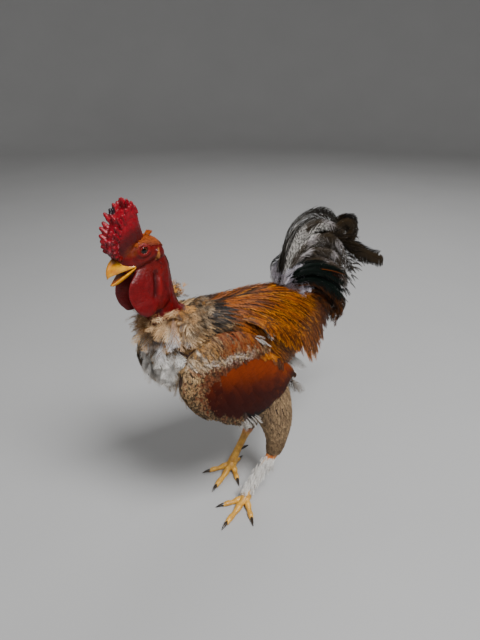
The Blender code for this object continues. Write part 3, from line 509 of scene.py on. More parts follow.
def mesh_object(name: str, bm: bmesh.types.BMesh) -> Piece:
    """Turns a bmesh to a smooth object in the scene.

    Args:
        name: The object's name.
        bm: The mesh, which is freed.

    Returns:
        The object.
    """
    mesh = bpy.data.meshes.new(name)
    bm.to_mesh(mesh)
    bm.free()
    for polygon in mesh.polygons:
        polygon.use_smooth = True
    obj = bpy.data.objects.new(name, mesh)
    bpy.context.scene.collection.objects.link(obj)
    return obj


def merged(name: str, pieces: Sequence[Piece], voxel: float, smooth: int = 2) -> Piece:
    """Melts closed pieces to one even skin and removes them.

    Args:
        name: The new object's name.
        pieces: Closed, overlapping objects.
        voxel: Width of the skin's faces in metres.
        smooth: Rounds of smoothing.

    Returns:
        The skin.
    """
    bm = bmesh.new()
    for piece in pieces:
        bm.from_mesh(piece.data)
        bpy.data.objects.remove(piece)
    skin = mesh_object(name, bm)
    remesh = skin.modifiers.new("melt", "REMESH")
    remesh.mode = "VOXEL"
    remesh.voxel_size = voxel
    remesh.use_smooth_shade = True
    if smooth:
        soft = skin.modifiers.new("soft", "SMOOTH")
        soft.factor = 0.5
        soft.iterations = smooth
    bpy.context.view_layer.update()
    mesh = bpy.data.meshes.new_from_object(skin.evaluated_get(bpy.context.evaluated_depsgraph_get()))
    skin.modifiers.clear()
    skin.data = mesh
    mesh.name = name
    for polygon in mesh.polygons:
        polygon.use_smooth = True
    return skin


def corners_of(obj: Piece) -> Array:
    """The vertex places of a mesh object.

    Args:
        obj: The object.

    Returns:
        A place a row.
    """
    out = np.empty(len(obj.data.vertices) * 3)
    obj.data.vertices.foreach_get("co", out)
    return out.reshape(-1, 3)


def normals_of(obj: Piece) -> Array:
    """The vertex normals of a mesh object.

    Args:
        obj: The object.

    Returns:
        A direction a row.
    """
    out = np.empty(len(obj.data.vertices) * 3)
    obj.data.vertex_normals.foreach_get("vector", out)
    return out.reshape(-1, 3)


def reshape(obj: Piece, places: Array) -> None:
    """Writes new vertex places to a mesh object."""
    obj.data.vertices.foreach_set("co", places.ravel())
    obj.data.update()


def paint(obj: Piece, colours: Array) -> None:
    """Stores a linear colour for each vertex as the object's markings.

    Args:
        obj: The object.
        colours: A colour a row.
    """
    layer = obj.data.color_attributes.new(name="markings", type="FLOAT_COLOR", domain="POINT")
    full = np.ones((len(colours), 4))
    full[:, :3] = np.clip(colours, 0.0, 1.0)
    layer.data.foreach_set("color", full.ravel())


def rough(places: Array, size: float, seed: float = 0.0) -> Array:
    """Smooth noise from about -1 to 1 at each place, with features of a size in metres."""
    return np.array([noise.noise(Vector(p) / size + Vector((seed, seed, seed))) for p in places])


@dataclass
class Batch:
    """Many feathers of one kind, by feather and step, and after weaving their vertices.

    Attributes:
        points: Their paths.
        normals: Outward directions along the paths.
        widths: Half widths along the paths.
        unwrap: Each root's place on the unwrap.
        share: Each vertex's share along its feather.
        out: Each vertex's share out from the shaft, signed by side.
        owner: Each vertex's feather.
        places: The vertices.
        marks: Other values for each feather, by name.
    """

    points: Array
    normals: Array
    widths: Array
    unwrap: Array
    marks: dict[str, Array] = field(default_factory=dict)
    share: Array | None = None
    out: Array | None = None
    owner: Array | None = None
    places: Array | None = None

    @property
    def root(self) -> Array:
        """The root of each vertex's feather."""
        return self.each(self.points[:, 0])

    def each(self, values: Array) -> Array:
        """Spreads a value for each feather over its vertices."""
        return values[self.owner]

    def own(self, rng: Chance, spread: float) -> Array:
        """A number for each feather, drawn about 0 with a spread, at each of its vertices."""
        return self.each(rng.normal(0, spread, len(self.points)))

    def lot(self, rng: Chance, high: float = 1.0) -> Array:
        """A number for each feather, drawn evenly from 0 to high, at each of its vertices."""
        return self.each(rng.uniform(0, high, len(self.points)))


def strip(index: Array) -> Array:
    """Quads between the rungs of ladders of vertices.

    Args:
        index: Vertex numbers, with rungs and ends as the last two axes.

    Returns:
        Corner numbers, four a row.
    """
    low, high = index[..., :-1, :], index[..., 1:, :]
    return np.stack([low[..., 0], low[..., 1], high[..., 1], high[..., 0]], axis=-1).reshape(-1, 4)


@dataclass(frozen=True)
class Weave:
    """How the barbs of a vane are set.

    Attributes:
        barbs: How many stand on each side.
        fill: Their width over their spacing.
        rake: How far their ends reach on toward the tip.
        ragged: How much shorter some of them are.
        camber: How far the vane's edges dip.
        lift: How far barbs stray from the vane's plane.
        shaft: Half width of the shaft, or 0 for none.
        droop: How far the vane's edges sag.
    """

    barbs: int = 9
    fill: float = 1.15
    rake: float = 0.16
    ragged: float = 0.12
    camber: float = 0.3
    lift: float = 0.0003
    shaft: float = 0.0005
    droop: float = 0.0

    def vanes(self, batch: Batch, rng: Chance) -> tuple[Array, Array]:
        """Weaves the vanes of a batch.

        Args:
            batch: The feathers; its per-vertex arrays are filled in.
            rng: The seeded source of chance.

        Returns:
            Vertices and quads.
        """
        count, steps = batch.points.shape[:2]
        tangent = unit(np.gradient(batch.points, axis=1))
        across = unit(np.cross(tangent, batch.normals))
        root = np.linspace(0.03, 0.97, self.barbs)
        half = 0.5 * self.fill * (root[1] - root[0])
        stations = vec(0, 0.55, 1)
        narrow = vec(1, 0.95, 0.42)
        shape = (count, 2, self.barbs, 3, 2)
        share = np.broadcast_to(root[:, None, None], shape).copy()
        share += self.rake * (stations**1.5)[:, None] * (1.0 - 0.55 * root[:, None, None])
        share += half * narrow[:, None] * np.array((-1.0, 1.0))
        share += rng.uniform(-0.3, 0.3, (count, 2, self.barbs, 1, 1)) * half * stations[:, None]
        share = np.clip(share, 0.0, 1.06)
        out = np.broadcast_to(stations[:, None], shape).copy()
        out *= 1.0 - self.ragged * rng.uniform(0, 1, (count, 2, self.barbs, 1, 1))
        sides = np.array((-1.0, 1.0))[None, :, None, None, None]
        owner = np.broadcast_to(np.arange(count)[:, None, None, None, None], shape)
        x = share * (steps - 1)
        i = np.clip(x.astype(int), 0, steps - 2)
        f = (x - i)[..., None]
        fields = (batch.points, across, batch.normals)
        place, side, normal = (v[owner, i] * (1 - f) + v[owner, i + 1] * f for v in fields)
        base = np.broadcast_to(root[:, None, None], shape)
        x = base * (steps - 1)
        i = np.clip(x.astype(int), 0, steps - 2)
        width = batch.widths[owner, i] * (1 - (x - i)) + batch.widths[owner, i + 1] * (x - i)
        reach = (sides * out * width)[..., None]
        dip = -self.camber * width * out**2 + self.lift * rng.uniform(-1, 1, (count, 2, self.barbs, 1, 1))
        verts = place + side * reach + normal * dip[..., None]
        verts[..., 2] -= self.droop * width * out**2
        index = np.arange(verts[..., 0].size).reshape(shape)
        quads = [strip(index[..., k : k + 2, :]) for k in (0, 1)]
        flat = [verts.reshape(-1, 3)]
        batch.share = share.ravel()
        batch.out = (sides * out).ravel()
        batch.owner = owner.ravel()
        if self.shaft > 0:
            f = np.linspace(0.0, 0.96, steps)
            thin = self.shaft * (1 - 0.8 * f)[None, :, None]
            low = batch.points + across * thin + batch.normals * self.lift
            high = batch.points - across * thin + batch.normals * self.lift
            pair = np.stack([low, high], axis=2)
            ladder = index.size + np.arange(count * steps * 2).reshape(count, steps, 2)
            quads.append(strip(ladder))
            flat.append(pair.reshape(-1, 3))
            along = np.broadcast_to(f[:, None], ladder.shape).ravel()
            feather = np.broadcast_to(np.arange(count)[:, None, None], ladder.shape).ravel()
            batch.share = np.concatenate([batch.share, along])
            batch.out = np.concatenate([batch.out, np.zeros(ladder.size)])
            batch.owner = np.concatenate([batch.owner, feather])
        batch.places = np.concatenate(flat)
        return batch.places, np.concatenate(quads)


def profile(steps: int, half: Array, root: float = 0.45, tip: float = 0.35, widest: float = 0.55) -> Array:
    """Half widths of vanes: from a narrow root to the widest place and in to the tip.

    Args:
        steps: Points along a path.
        half: Half width of each feather.
        root: Share of the width at the root.
        tip: Share of the width at the tip.
        widest: Share of the length at which the vane is widest.

    Returns:
        Feathers by steps.
    """
    f = np.linspace(0, 1, steps)
    rise = root + (1 - root) * np.sin(np.clip(f / widest, 0, 1) * math.pi / 2)
    fall = tip + (1 - tip) * np.cos(np.clip((f - widest) / (1 - widest), 0, 1) * math.pi / 2) ** 0.8
    return np.asarray(half)[:, None] * np.where(f < widest, rise, fall)[None]


def march(
    tree: BVHTree, roots: Array, ways: Lie, lengths: Array, rise: Span, steps: int,
) -> tuple[Array, Array]:
    """Lays feathers along a surface, each step following its bend.

    Args:
        tree: The surface.
        roots: Where they are rooted.
        ways: Gives the lie of the coat from place and normal.
        lengths: Length of each feather.
        rise: Height over the surface at the root and at the tip.
        steps: Points along each path.

    Returns:
        Paths and normals.
    """
    points = np.empty((len(roots), steps, 3))
    normals = np.empty_like(points)
    for n, root in enumerate(roots):
        place = Vector(root)
        for k in range(steps):
            hit, normal, _, _ = tree.find_nearest(place)
            height = rise[0] + (rise[1] - rise[0]) * k / (steps - 1)
            points[n, k] = hit + normal * height
            normals[n, k] = normal
            way = Vector(ways(np.array(hit), np.array(normal)))
            way = (way - normal * way.dot(normal)).normalized()
            place = hit + way * (lengths[n] / (steps - 1))
    return points, normals


def scatter(rows: int, around: int, low: Span, high: Span, rng: Chance) -> Array:
    """Staggered shares around and along a form, each moved a little by chance.

    Args:
        rows: Rows along.
        around: Feathers a row.
        low: Lowest share around and along.
        high: Highest share around and along.
        rng: The seeded source of chance.

    Returns:
        Shares as rows of two.
    """
    v, u = np.meshgrid(np.arange(rows), np.arange(around), indexing="ij")
    u = u + 0.5 * (v % 2) + rng.uniform(-0.28, 0.28, u.shape)
    v = v + 0.5 + rng.uniform(-0.28, 0.28, v.shape)
    u, v = low[0] + (high[0] - low[0]) * u / around, low[1] + (high[1] - low[1]) * v / rows
    return beside(u.ravel(), v.ravel())


def strewn(count: int, low: Span, high: Span, rng: Chance) -> Array:
    """Evenly spread shares, as a low-discrepancy row with a little chance in it.

    Args:
        count: How many.
        low: Lowest share around and along.
        high: Highest share around and along.
        rng: The seeded source of chance.

    Returns:
        Shares as rows of two.
    """
    n = np.arange(count) + rng.uniform(0, 0.4, count)
    shares = beside((n * 0.7548777) % 1.0, (n * 0.5698403) % 1.0)
    return np.array(low) + shares * (np.array(high) - np.array(low))


def locks(
    roots: Array, ways: Array, lengths: Array, normals: Array,
    widths: Array, unwrap: Array, droop: Array | float,
) -> Batch:
    """Straight feathers that sag under their own weight.

    Args:
        roots: Where they grow.
        ways: Their directions.
        lengths: Their lengths.
        normals: Their outward directions.
        widths: Half widths, feathers by steps.
        unwrap: Their places on the unwrap.
        droop: Sag of the tip over the length.

    Returns:
        The feathers.
    """
    f = np.linspace(0, 1, widths.shape[1])
    points = roots[:, None] + ways[:, None] * (lengths[:, None] * f)[..., None]
    points[..., 2] -= (lengths * droop)[:, None] * f**2
    return Batch(points, np.tile(normals[:, None], (1, len(f), 1)), widths, unwrap)


def hull(forms: Sequence[Form]) -> BVHTree:
    """One search tree over several forms, its faces all outward.

    Args:
        forms: The forms.

    Returns:
        The tree.
    """
    verts: list[Vector] = []
    quads: list[list[int]] = []
    for form in forms:
        start = len(verts)
        verts.extend(Vector(p) for p in form.rings.reshape(-1, 3))
        quads.extend((form.quads() + start).tolist())
    return BVHTree.FromPolygons(verts, quads)


def mirrored(batch: Batch) -> Batch:
    """The same feathers on the other side of the bird."""
    flip = vec(-1, 1, 1)
    return Batch(batch.points * flip, batch.normals * flip, batch.widths, batch.unwrap)


def joined(batches: Sequence[Batch]) -> Batch:
    """Sets several batches with equally many steps one after another.

    Args:
        batches: The batches, all with the same marks.

    Returns:
        One batch.
    """
    keys = ("points", "normals", "widths", "unwrap")
    marks = {key: np.concatenate([b.marks[key] for b in batches]) for key in batches[0].marks}
    return Batch(*(np.concatenate([getattr(b, key) for b in batches]) for key in keys), marks)


@dataclass
class Body:
    """The flesh under the plumage: trunk, folded wings, thighs and tail root.

    Rows hold sizes in metres and are the solids' own; coat is how deep the feathers lie.
    """

    coat: float = 0.0035
    trunk_rows: Rows = mm((
        (-132, 284, 10, 12, 12), (-124, 282, 30, 30, 28),
        (-108, 278, 44, 50, 40), (-82, 270, 53, 67, 50),
        (-50, 262, 58, 74, 60), (-10, 255, 60, 77, 68),
        (30, 254, 57, 76, 70), (65, 260, 50, 67, 63),
        (100, 270, 40, 52, 51), (130, 280, 30, 37, 37),
        (152, 287, 18, 22, 22), (162, 291, 7, 9, 9),
    ))
    wing_rows: Rows = mm((
        (0, 14, 12, 48, 9), (14, 44, 30, 51, 13),
        (35, 61, 48, 52, 15), (65, 66, 62, 53, 16),
        (95, 62, 70, 53, 16), (125, 48, 71, 53, 15),
        (155, 30, 56, 53, 12), (180, 15, 35, 52, 9),
        (198, 4, 12, 51, 5),
    ))
    thigh_rows: Rows = mm((
        (200, -18, 34, 22), (170, -12, 38, 24),
        (142, -2, 32, 22), (116, 5, 26, 18),
        (94, 6, 19.5, 15), (77, 3, 13.8, 12),
        (68, 0, 10, 9.6),
    ))
    tail_rows: Rows = mm(((-16, 18, 23), (0, 16, 25), (16, 12, 20), (30, 5, 10)))
    wrist: Span = (-0.122, 0.268)
    tip: Span = (0.078, 0.203)

    def __post_init__(self) -> None:
        """Builds the forms once."""
        self.along = unit(np.array((0.0, self.tip[0] - self.wrist[0], self.tip[1] - self.wrist[1])))
        self.upward = np.array((0.0, -self.along[2], self.along[1]))
        self.trunk = self.trunk_form()
        self.wings = {side: self.wing_form(side) for side in Side}
        self.thighs = {side: self.thigh_form(side) for side in Side}
        self.cover = hull([self.trunk, *self.wings.values()])

    def trunk_form(self) -> Form:
        """The trunk, sunk by the coat's depth.

        Returns:
            The form, from the crop to the vent.
        """
        rows = through(self.trunk_rows, 60)
        centres = beside(rows[:, 0] * 0, rows[:, 0], rows[:, 1])
        sizes = np.maximum(rows[:, 2:5] - self.coat, 0.001)
        return Form.egg(centres, ACROSS, vec(0, 0, 1), sizes, 72, 2.15)

    def wing_form(self, side: Side) -> Form:
        """One folded wing, sunk by the coat's depth.

        Args:
            side: Which one.

        Returns:
            The form, from the wrist to the tip.
        """
        rows = through(self.wing_rows, 48)
        centres = np.array((0.0, self.wrist[0], self.wrist[1])) + rows[:, :1] * self.along
        centres[:, 0] = side.value * rows[:, 3]
        sizes = np.maximum(rows[:, [4, 1, 2]] - self.coat, 0.001)
        return Form.egg(centres, vec(side.value, 0, 0), self.upward, sizes, 48, 2.4)

    def thigh_form(self, side: Side) -> Form:
        """One thigh from the hip to the hock, sunk by half the coat's depth.

        Args:
            side: Which one.

        Returns:
            The form, from the top down.
        """
        rows = through(self.thigh_rows, 40)
        hock = {Side.LEFT: 0.045, Side.RIGHT: 0.058}[side]
        x = side.value * (0.037 - 0.05 * np.maximum(0.0, rows[:, 0] - 0.12))
        centres = beside(x, hock + rows[:, 1], rows[:, 0])
        depth = 0.0022 * ramp(rows[:, 0], 0.066, 0.095)
        sizes = rows[:, [3, 2, 2]] - depth[:, None]
        return Form.egg(centres, ACROSS, vec(0, -1, 0), sizes, 40)

    def tail_form(self) -> Form:
        """The fleshy root of the tail.

        Returns:
            The form, from the rump up.
        """
        rows = np.array(self.tail_rows)
        way = unit(vec(0, 0.62, 0.78))
        middle = vec(0, 0.108, 0.324) - way * 0.004
        sizes = rows[:, [1, 2, 2]]
        return Form.egg(middle + rows[:, :1] * way, ACROSS, np.cross((1.0, 0, 0), way), sizes, 24)

    def build(self) -> Piece:
        """Melts the flesh to one skin, dull greyish pink with red thighs above the hocks.

        Returns:
            The skin.
        """
        forms = [self.trunk, *self.wings.values(), *self.thighs.values(), self.tail_form()]
        skin = merged("body skin", [form.solid("form") for form in forms], 0.0035, 3)
        places = corners_of(skin)
        pale = blend("#6b5040", "#4a342a", 0.5 + rough(places, 0.02))
        bare = 1.0 - ramp(places[:, 2], 0.078, 0.098)
        paint(skin, blend(pale, "#a8502c", bare))
        return skin


def tube_piece(points: Sequence[Sequence[float]], radii: Sequence[float], sides: int, steps: int) -> Form:
    """A smooth round tube through a few points.

    Args:
        points: The points.
        radii: The radius at each.
        sides: Points around.
        steps: Rings along.

    Returns:
        The tube.
    """
    rows = through([(*p, r) for p, r in zip(points, radii)], steps)
    line = rows[:, :3]
    run = line[-1] - line[0]
    level = abs(run[2]) < 0.7 * np.linalg.norm(run)
    hint = (0.0, 0.0, 1.0) if level else (0.0, 1.0, 0.0)
    return Form.tube(line, np.maximum(rows[:, 3], 0.0002), sides, hint)


def bead(place: Array, radii: Sequence[float], turn: float = 0.0) -> Piece:
    """A small closed ball, stretched by radii and turned about X.

    Args:
        place: Its middle.
        radii: Its radii along the axes.
        turn: The turn, in radians.

    Returns:
        The ball.
    """
    bm = bmesh.new()
    bmesh.ops.create_uvsphere(bm, u_segments=20, v_segments=12, radius=1.0)
    move = Matrix.Translation(Vector(place)) @ Matrix.Rotation(turn, 4, "X") @ Matrix.Diagonal((*radii, 1.0))
    bm.transform(move)
    return mesh_object("bead", bm)


@dataclass
class BareHead:
    """Head, rose comb, wattles, ear lobes and naked neck, all one blood-red skin.

    Attributes:
        voxel: Width of the skin's faces.
        head_rows: Along the bill, with top, bottom and half width, in the head's own axes.
        neck_rows: Place along the bird, height, half width and half depth.
        comb_rows: Height in the head's own axes, with front, rear and half width.
        wattle_rows: Height, place along the bird, half length and place out.
        web_rows: The same for the web of skin between wattle and jaw.
        point_shape: Share along a point of the comb, with its radius there over that at the root.
        lids: Arc in degrees, half length, radius and height over length of each lid and fold.
    """

    voxel: float = 0.00075
    head_rows: Rows = mm((
        (30, 10.8, -11.8, 7.2), (27, 12.2, -13.8, 9.8),
        (20, 14.8, -15.6, 12.4), (11, 17.8, -16.5, 15),
        (1, 19.2, -18, 16.6), (-8.5, 15.8, -20.5, 16.8),
        (-15.5, 10, -21.5, 15), (-20.5, 3, -20, 11.6),
        (-23, -3, -15, 6),
    ))
    neck_rows: Rows = mm((
        (-123.5, 412, 13.5, 14.5), (-120.5, 400, 15.5, 17.5),
        (-119, 385, 17, 18), (-117, 367, 18, 18.5),
        (-114, 349, 19.5, 19.5), (-108, 332, 24, 22.5),
        (-97, 316, 28, 28), (-90, 302, 24, 24),
    ))
    comb_rows: Rows = mm((
        (6, 27, -8, 10), (13, 31.5, -11, 11.8),
        (21, 31, -12.5, 13.5), (30, 26.2, -14, 15),
        (39, 16.5, -16, 15.2), (46, 6, -17.5, 13.5),
        (50.5, -4, -16.5, 8.5),
    ))
    wattle_rows: Rows = mm((
        (408, -139.5, 3, 6), (399, -142.5, 7, 10),
        (389, -145.5, 13.6, 14.6), (376, -145, 17.6, 17.8),
        (365, -143.5, 16.8, 19.8), (356, -142.8, 12.2, 21.2),
        (349.5, -142.5, 5.5, 21.8),
    ))
    web_rows: Rows = mm((
        (412, -133, 6, 6), (396, -132, 13, 11.2),
        (382, -130, 16.5, 15.5), (370, -128, 17.5, 17.2),
        (360, -127, 15, 17.8), (353, -127, 8, 17),
    ))
    point_shape: Rows = ((-0.25, 1.05), (0.2, 1.0), (0.55, 0.9), (0.85, 0.7), (1.0, 0.36))
    lids: Sequence[tuple] = (
        ((2, 178), 0.0049, 0.00075, 0.86), ((182, 358), 0.0049, 0.0007, 0.84),
        ((195, 345), 0.0063, 0.00055, 0.92), ((20, 160), 0.0062, 0.00055, 0.98),
    )

    def head_form(self) -> Form:
        """The skull with its flesh.

        Returns:
            The form, from the bill back.
        """
        rows = through(self.head_rows, 44)
        centres = np.array([head_place(r[0], (r[1] + r[2]) / 2) for r in rows])
        tall = (rows[:, 1] - rows[:, 2]) / 2
        return Form.egg(centres, ACROSS, head_way(0, 1), beside(rows[:, 3], tall, tall), 56, 2.2)

    def neck_form(self) -> Form:
        """The bare neck down to the crop.

        Returns:
            The form, from the top down.
        """
        rows = through(self.neck_rows, 50)
        centres = beside(rows[:, 0] * 0, rows[:, 0], rows[:, 1])
        side = np.broadcast_to(ACROSS, centres.shape)
        ups = np.cross(side, unit(np.gradient(centres, axis=0)))
        return Form.egg(centres, side, ups, rows[:, [2, 3, 3]], 56)

    def comb_form(self) -> Form:
        """The comb's leaning crown without its points.

        Returns:
            The form, from the skull up.
        """
        rows = through(self.comb_rows, 30)
        centres = np.array([head_place((r[1] + r[2]) / 2, r[0]) for r in rows])
        half = (rows[:, 1] - rows[:, 2]) / 2
        sizes = beside(rows[:, 3], half, half) * 0.96
        return Form.egg(centres, ACROSS, head_way(1, 0), sizes, 48, 2.6)

    def hanging(self, table: Rows, side: Side, thick: Span, fold: float = 0, longer: float = 0) -> Form:
        """A thin sheet of skin that hangs from the jaw.

        Args:
            table: Height, place along the bird, half length and place out of each level.
            side: The side on which it hangs.
            thick: Half thickness at its top and at its rolled lower rim.
            fold: How far it waves out and in.
            longer: How much further down it reaches than its table.

        Returns:
            The sheet.
        """
        rows = through(table, 30)
        f = np.linspace(0, 1, 30)
        out = side.value * (rows[:, 3] + fold * np.sin(f * 9.8))
        half = np.interp(f, (0, 1), thick)
        centres = beside(out, rows[:, 1], rows[:, 0] - longer * f**1.5)
        return Form.egg(centres, vec(0, -1, 0), ACROSS, beside(rows[:, 2], half, half), 40)

    def comb_at(self, level: float) -> Array:
        """Front, rear and half width of the comb at a level."""
        table = np.array(self.comb_rows)
        return np.array([np.interp(level, table[:, 0], table[:, k]) for k in (1, 2, 3)])

    def point(self, root: Array, way: Array, length: float, radius: float) -> Piece:
        """One tapered, slightly bent point of the comb.

        Args:
            root: Where it grows.
            way: Its direction.
            length: Its length.
            radius: Its radius at the root.

        Returns:
            The point.
        """
        f = np.array(self.point_shape)
        bend = head_way(-0.4, 0.5) * 0.18
        run = length * f[:, :1]
        line = root + unit(way) * run + bend * (run * np.abs(f[:, :1]))
        return tube_piece(line, radius * f[:, 1], 16, 12).solid("point")

    def points(self, rng: Chance) -> list[Piece]:
        """All points and warts of the comb.

        Args:
            rng: The seeded source of chance.

        Returns:
            The pieces.
        """
        out = []

        def grow(root: Sequence[float], way: Sequence[float], length: float, radius: float) -> None:
            """Adds a point of the comb, given in the head's own axes.

            Args:
                root: Forward, up and out of its root.
                way: Forward, up and out of its direction.
                length: Its length.
                radius: Its radius at the root.
            """
            out.append(self.point(head_place(*root), head_way(*way), length, radius))

        for side in (-1.0, 1.0):
            for k in range(8):
                level = 0.01 + 0.0046 * k
                front, _, half = self.comb_at(level)
                root = (front - 0.003, level + 0.001, side * (half - 0.003))
                way = (0.62 - 0.07 * k, 0.3 + 0.13 * k, side * (0.8 - 0.05 * k))
                grow(root, way, 0.0058 + 0.0005 * k + rng.uniform(-0.0008, 0.0016), 0.0029)
            for k in range(4):
                length = (0.0105, 0.013, 0.0115, 0.008)[k] + rng.uniform(-0.001, 0.001)
                root = (0.004 - 0.0055 * k, 0.0425 + 0.0012 * k, side * 0.0112)
                grow(root, (-0.12, 1.0, side * 0.22), length, 0.003)
        for k in range(-2, 3):
            length = 0.0155 - 0.001 * abs(k) + rng.uniform(-0.001, 0.001)
            grow((-0.0085 - 0.001 * abs(k), 0.0448, 0.005 * k), (-0.14, 1.0, 0.09 * k), length, 0.0028)
        for k in range(-2, 3):
            length = 0.0105 + rng.uniform(-0.001, 0.001)
            grow((0.0065 - 0.0012 * abs(k), 0.04, 0.0045 * k), (0.25, 1.0, 0.09 * k), length, 0.0027)
        for share in strewn(36, (-0.85, 0.008), (0.85, 0.038), rng):
            front, rear, half = self.comb_at(share[1])
            bulge = (1 - abs(share[0]) ** 2.6) ** (1 / 2.6)
            middle = (front + rear) / 2
            place = head_place(middle + (front - middle) * bulge - 0.0002, share[1], share[0] * half)
            out.append(bead(place, (rng.uniform(0.0014, 0.0023),) * 3))
        return out

    def lid(self, side: Side, angles: Span, reach: float, radius: float, tall: float) -> Form:
        """A lid or a fold under it: an arc of tube lying on the eyeball.

        Args:
            side: Which eye.
            angles: First and last angle of the arc in degrees, 0 forward and 90 up.
            reach: Half length of the opening.
            radius: Radius of the tube.
            tall: Height of the opening over its length.

        Returns:
            The tube.
        """
        centre = head_place(EYE_AT[0], EYE_AT[1], side.value * EYE_AT[2])
        line = []
        for angle in np.radians(np.linspace(*angles, 22)):
            forward, up = reach * math.cos(angle), reach * tall * math.sin(angle)
            flat = math.hypot(forward, up)
            gap = (EYE_RADIUS + radius * 0.35) ** 2 - flat**2
            out = math.sqrt(gap) if flat < EYE_RADIUS else 0.0
            line.append(centre + head_way(forward, up, side.value * max(out, 0.0022)))
        f = np.linspace(0, 1, 22)
        return Form.tube(np.array(line), radius * (0.45 + 0.55 * np.sin(f * math.pi) ** 0.6), 10, (1, 0, 0))

    def build(self, rng: Chance) -> Piece:
        """Melts the bare parts to one skin, sculpts its folds and colours it.

        Args:
            rng: The seeded source of chance.

        Returns:
            The skin with the lids of both eyes.
        """
        forms = {"head": self.head_form(), "neck": self.neck_form(), "comb": self.comb_form()}
        for side in Side:
            longer, thick = 0.007 if side is Side.RIGHT else 0.0, (0.0022, 0.0032)
            forms["wattle_" + side.word] = self.hanging(self.wattle_rows, side, thick, 0.001, longer)
            forms["web_" + side.word] = self.hanging(self.web_rows, side, (0.0042, 0.0042))
        pieces = [form.solid("form") for form in forms.values()] + self.points(rng)
        for side in Side:
            lobe = head_place(-0.0105, -0.0078, side.value * 0.0164)
            pieces.append(bead(lobe, (0.0026, 0.0027, 0.0062), math.radians(8)))
        skin = merged("bare head", pieces, self.voxel, 4)
        places = self.sculpt(corners_of(skin), normals_of(skin), forms)
        reshape(skin, places)
        paint(skin, self.tones(places, forms))
        lids = [self.lid(side, *lid).solid("lid") for side in Side for lid in self.lids]
        for lid in lids:
            paint(lid, np.tile(dye("#8c1a1c"), (len(lid.data.vertices), 1)))
        return fused("bare head", [skin, *lids])

    def local(self, places: Array) -> tuple[Array, Array, Array]:
        """Forward, up and out of places in the head's own axes."""
        rel = places - HEAD_AT
        return rel @ head_way(1, 0), rel @ head_way(0, 1), rel[:, 0]

    def folds(self, places: Array) -> tuple[Array, Array]:
        """The fold behind the wattle and the ridge behind that.

        Args:
            places: Places on the skin.

        Returns:
            How deep in the fold, and how high on the ridge, each place lies.
        """
        tall = ramp(places[:, 2], 0.364, 0.374) * fade(places[:, 2], 0.392, 0.402)
        tall = tall * (np.abs(places[:, 0]) > 0.008)
        bend = places[:, 1] + 0.129 - 0.2 * (places[:, 2] - 0.385)
        return tall * np.exp(-((bend / 0.0026) ** 2)), tall * np.exp(-(((bend - 0.0065) / 0.0028) ** 2))

    def near(self, places: Array, form: Form) -> Array:
        """The distance of each place from a form's surface."""
        return np.array([form.tree.find_nearest(Vector(p))[3] for p in places])

    def sculpt(self, places: Array, normals: Array, forms: dict[str, Form]) -> Array:
        """Adds neck pleats, face wrinkles, comb bumps, wattle folds and the eye sockets.

        Args:
            places: The skin's vertices.
            normals: Their normals.
            forms: The bare parts by name.

        Returns:
            The moved vertices.
        """
        forward, up, out = self.local(places)
        neck = np.exp(-self.near(places, forms["neck"]) / 0.0012) * ramp(-places[:, 2], -0.405, -0.39)
        angle = np.arctan2(places[:, 0], -(places[:, 1] + 0.112))
        wobble = rough(places, 0.02, 3.0)
        pleat = np.sin(angle * 9 + wobble * 6 + places[:, 2] * 30)
        cross = np.sin(places[:, 2] * 2 * math.pi / 0.011 + wobble * 4)
        fine = rough(places, 0.0022, 7.0)
        push = neck * (0.00022 * pleat + 0.00014 * cross)
        comb = ramp(up, 0.014, 0.02) * fade(-forward, 0.016, 0.024)
        flank = comb * ramp(np.abs(out), 0.008, 0.012)
        push += comb * 0.00035 * fine + flank * 0.0003 * np.sin(forward * 2 * math.pi / 0.0085 + wobble * 3)
        gaps = [self.near(places, forms["wattle_" + side.word]) for side in Side]
        wattle = np.exp(-np.minimum(*gaps) / 0.0012)
        push += wattle * (0.0004 * rough(places, 0.008, 11.0) + 0.00018 * fine)
        push += (1 - comb) * (1 - wattle) * 0.00022 * fine
        crease, ridge = self.folds(places)
        push += 0.0011 * ridge - 0.0022 * crease
        places = places + normals * push[:, None]
        for side in (-1.0, 1.0):
            centre = head_place(EYE_AT[0], EYE_AT[1], side * EYE_AT[2])
            rel = places - centre
            flat = np.hypot((forward - EYE_AT[0]) / 0.0049, (up - EYE_AT[1]) / 0.0042)
            same = out * side > 0.005
            hole = same & (flat < 1.0)
            places[hole] = centre + unit(rel[hole]) * (EYE_RADIUS - 0.0009)
            brow = same & (flat >= 1.0) & (flat < 3.2)
            swell = 0.0009 * np.exp(-(((flat - 1.35) / 0.5) ** 2))
            swell = swell - 0.0007 * np.exp(-(((flat - 2.3) / 0.5) ** 2))
            places[brow, 0] += side * swell[brow]
        return places

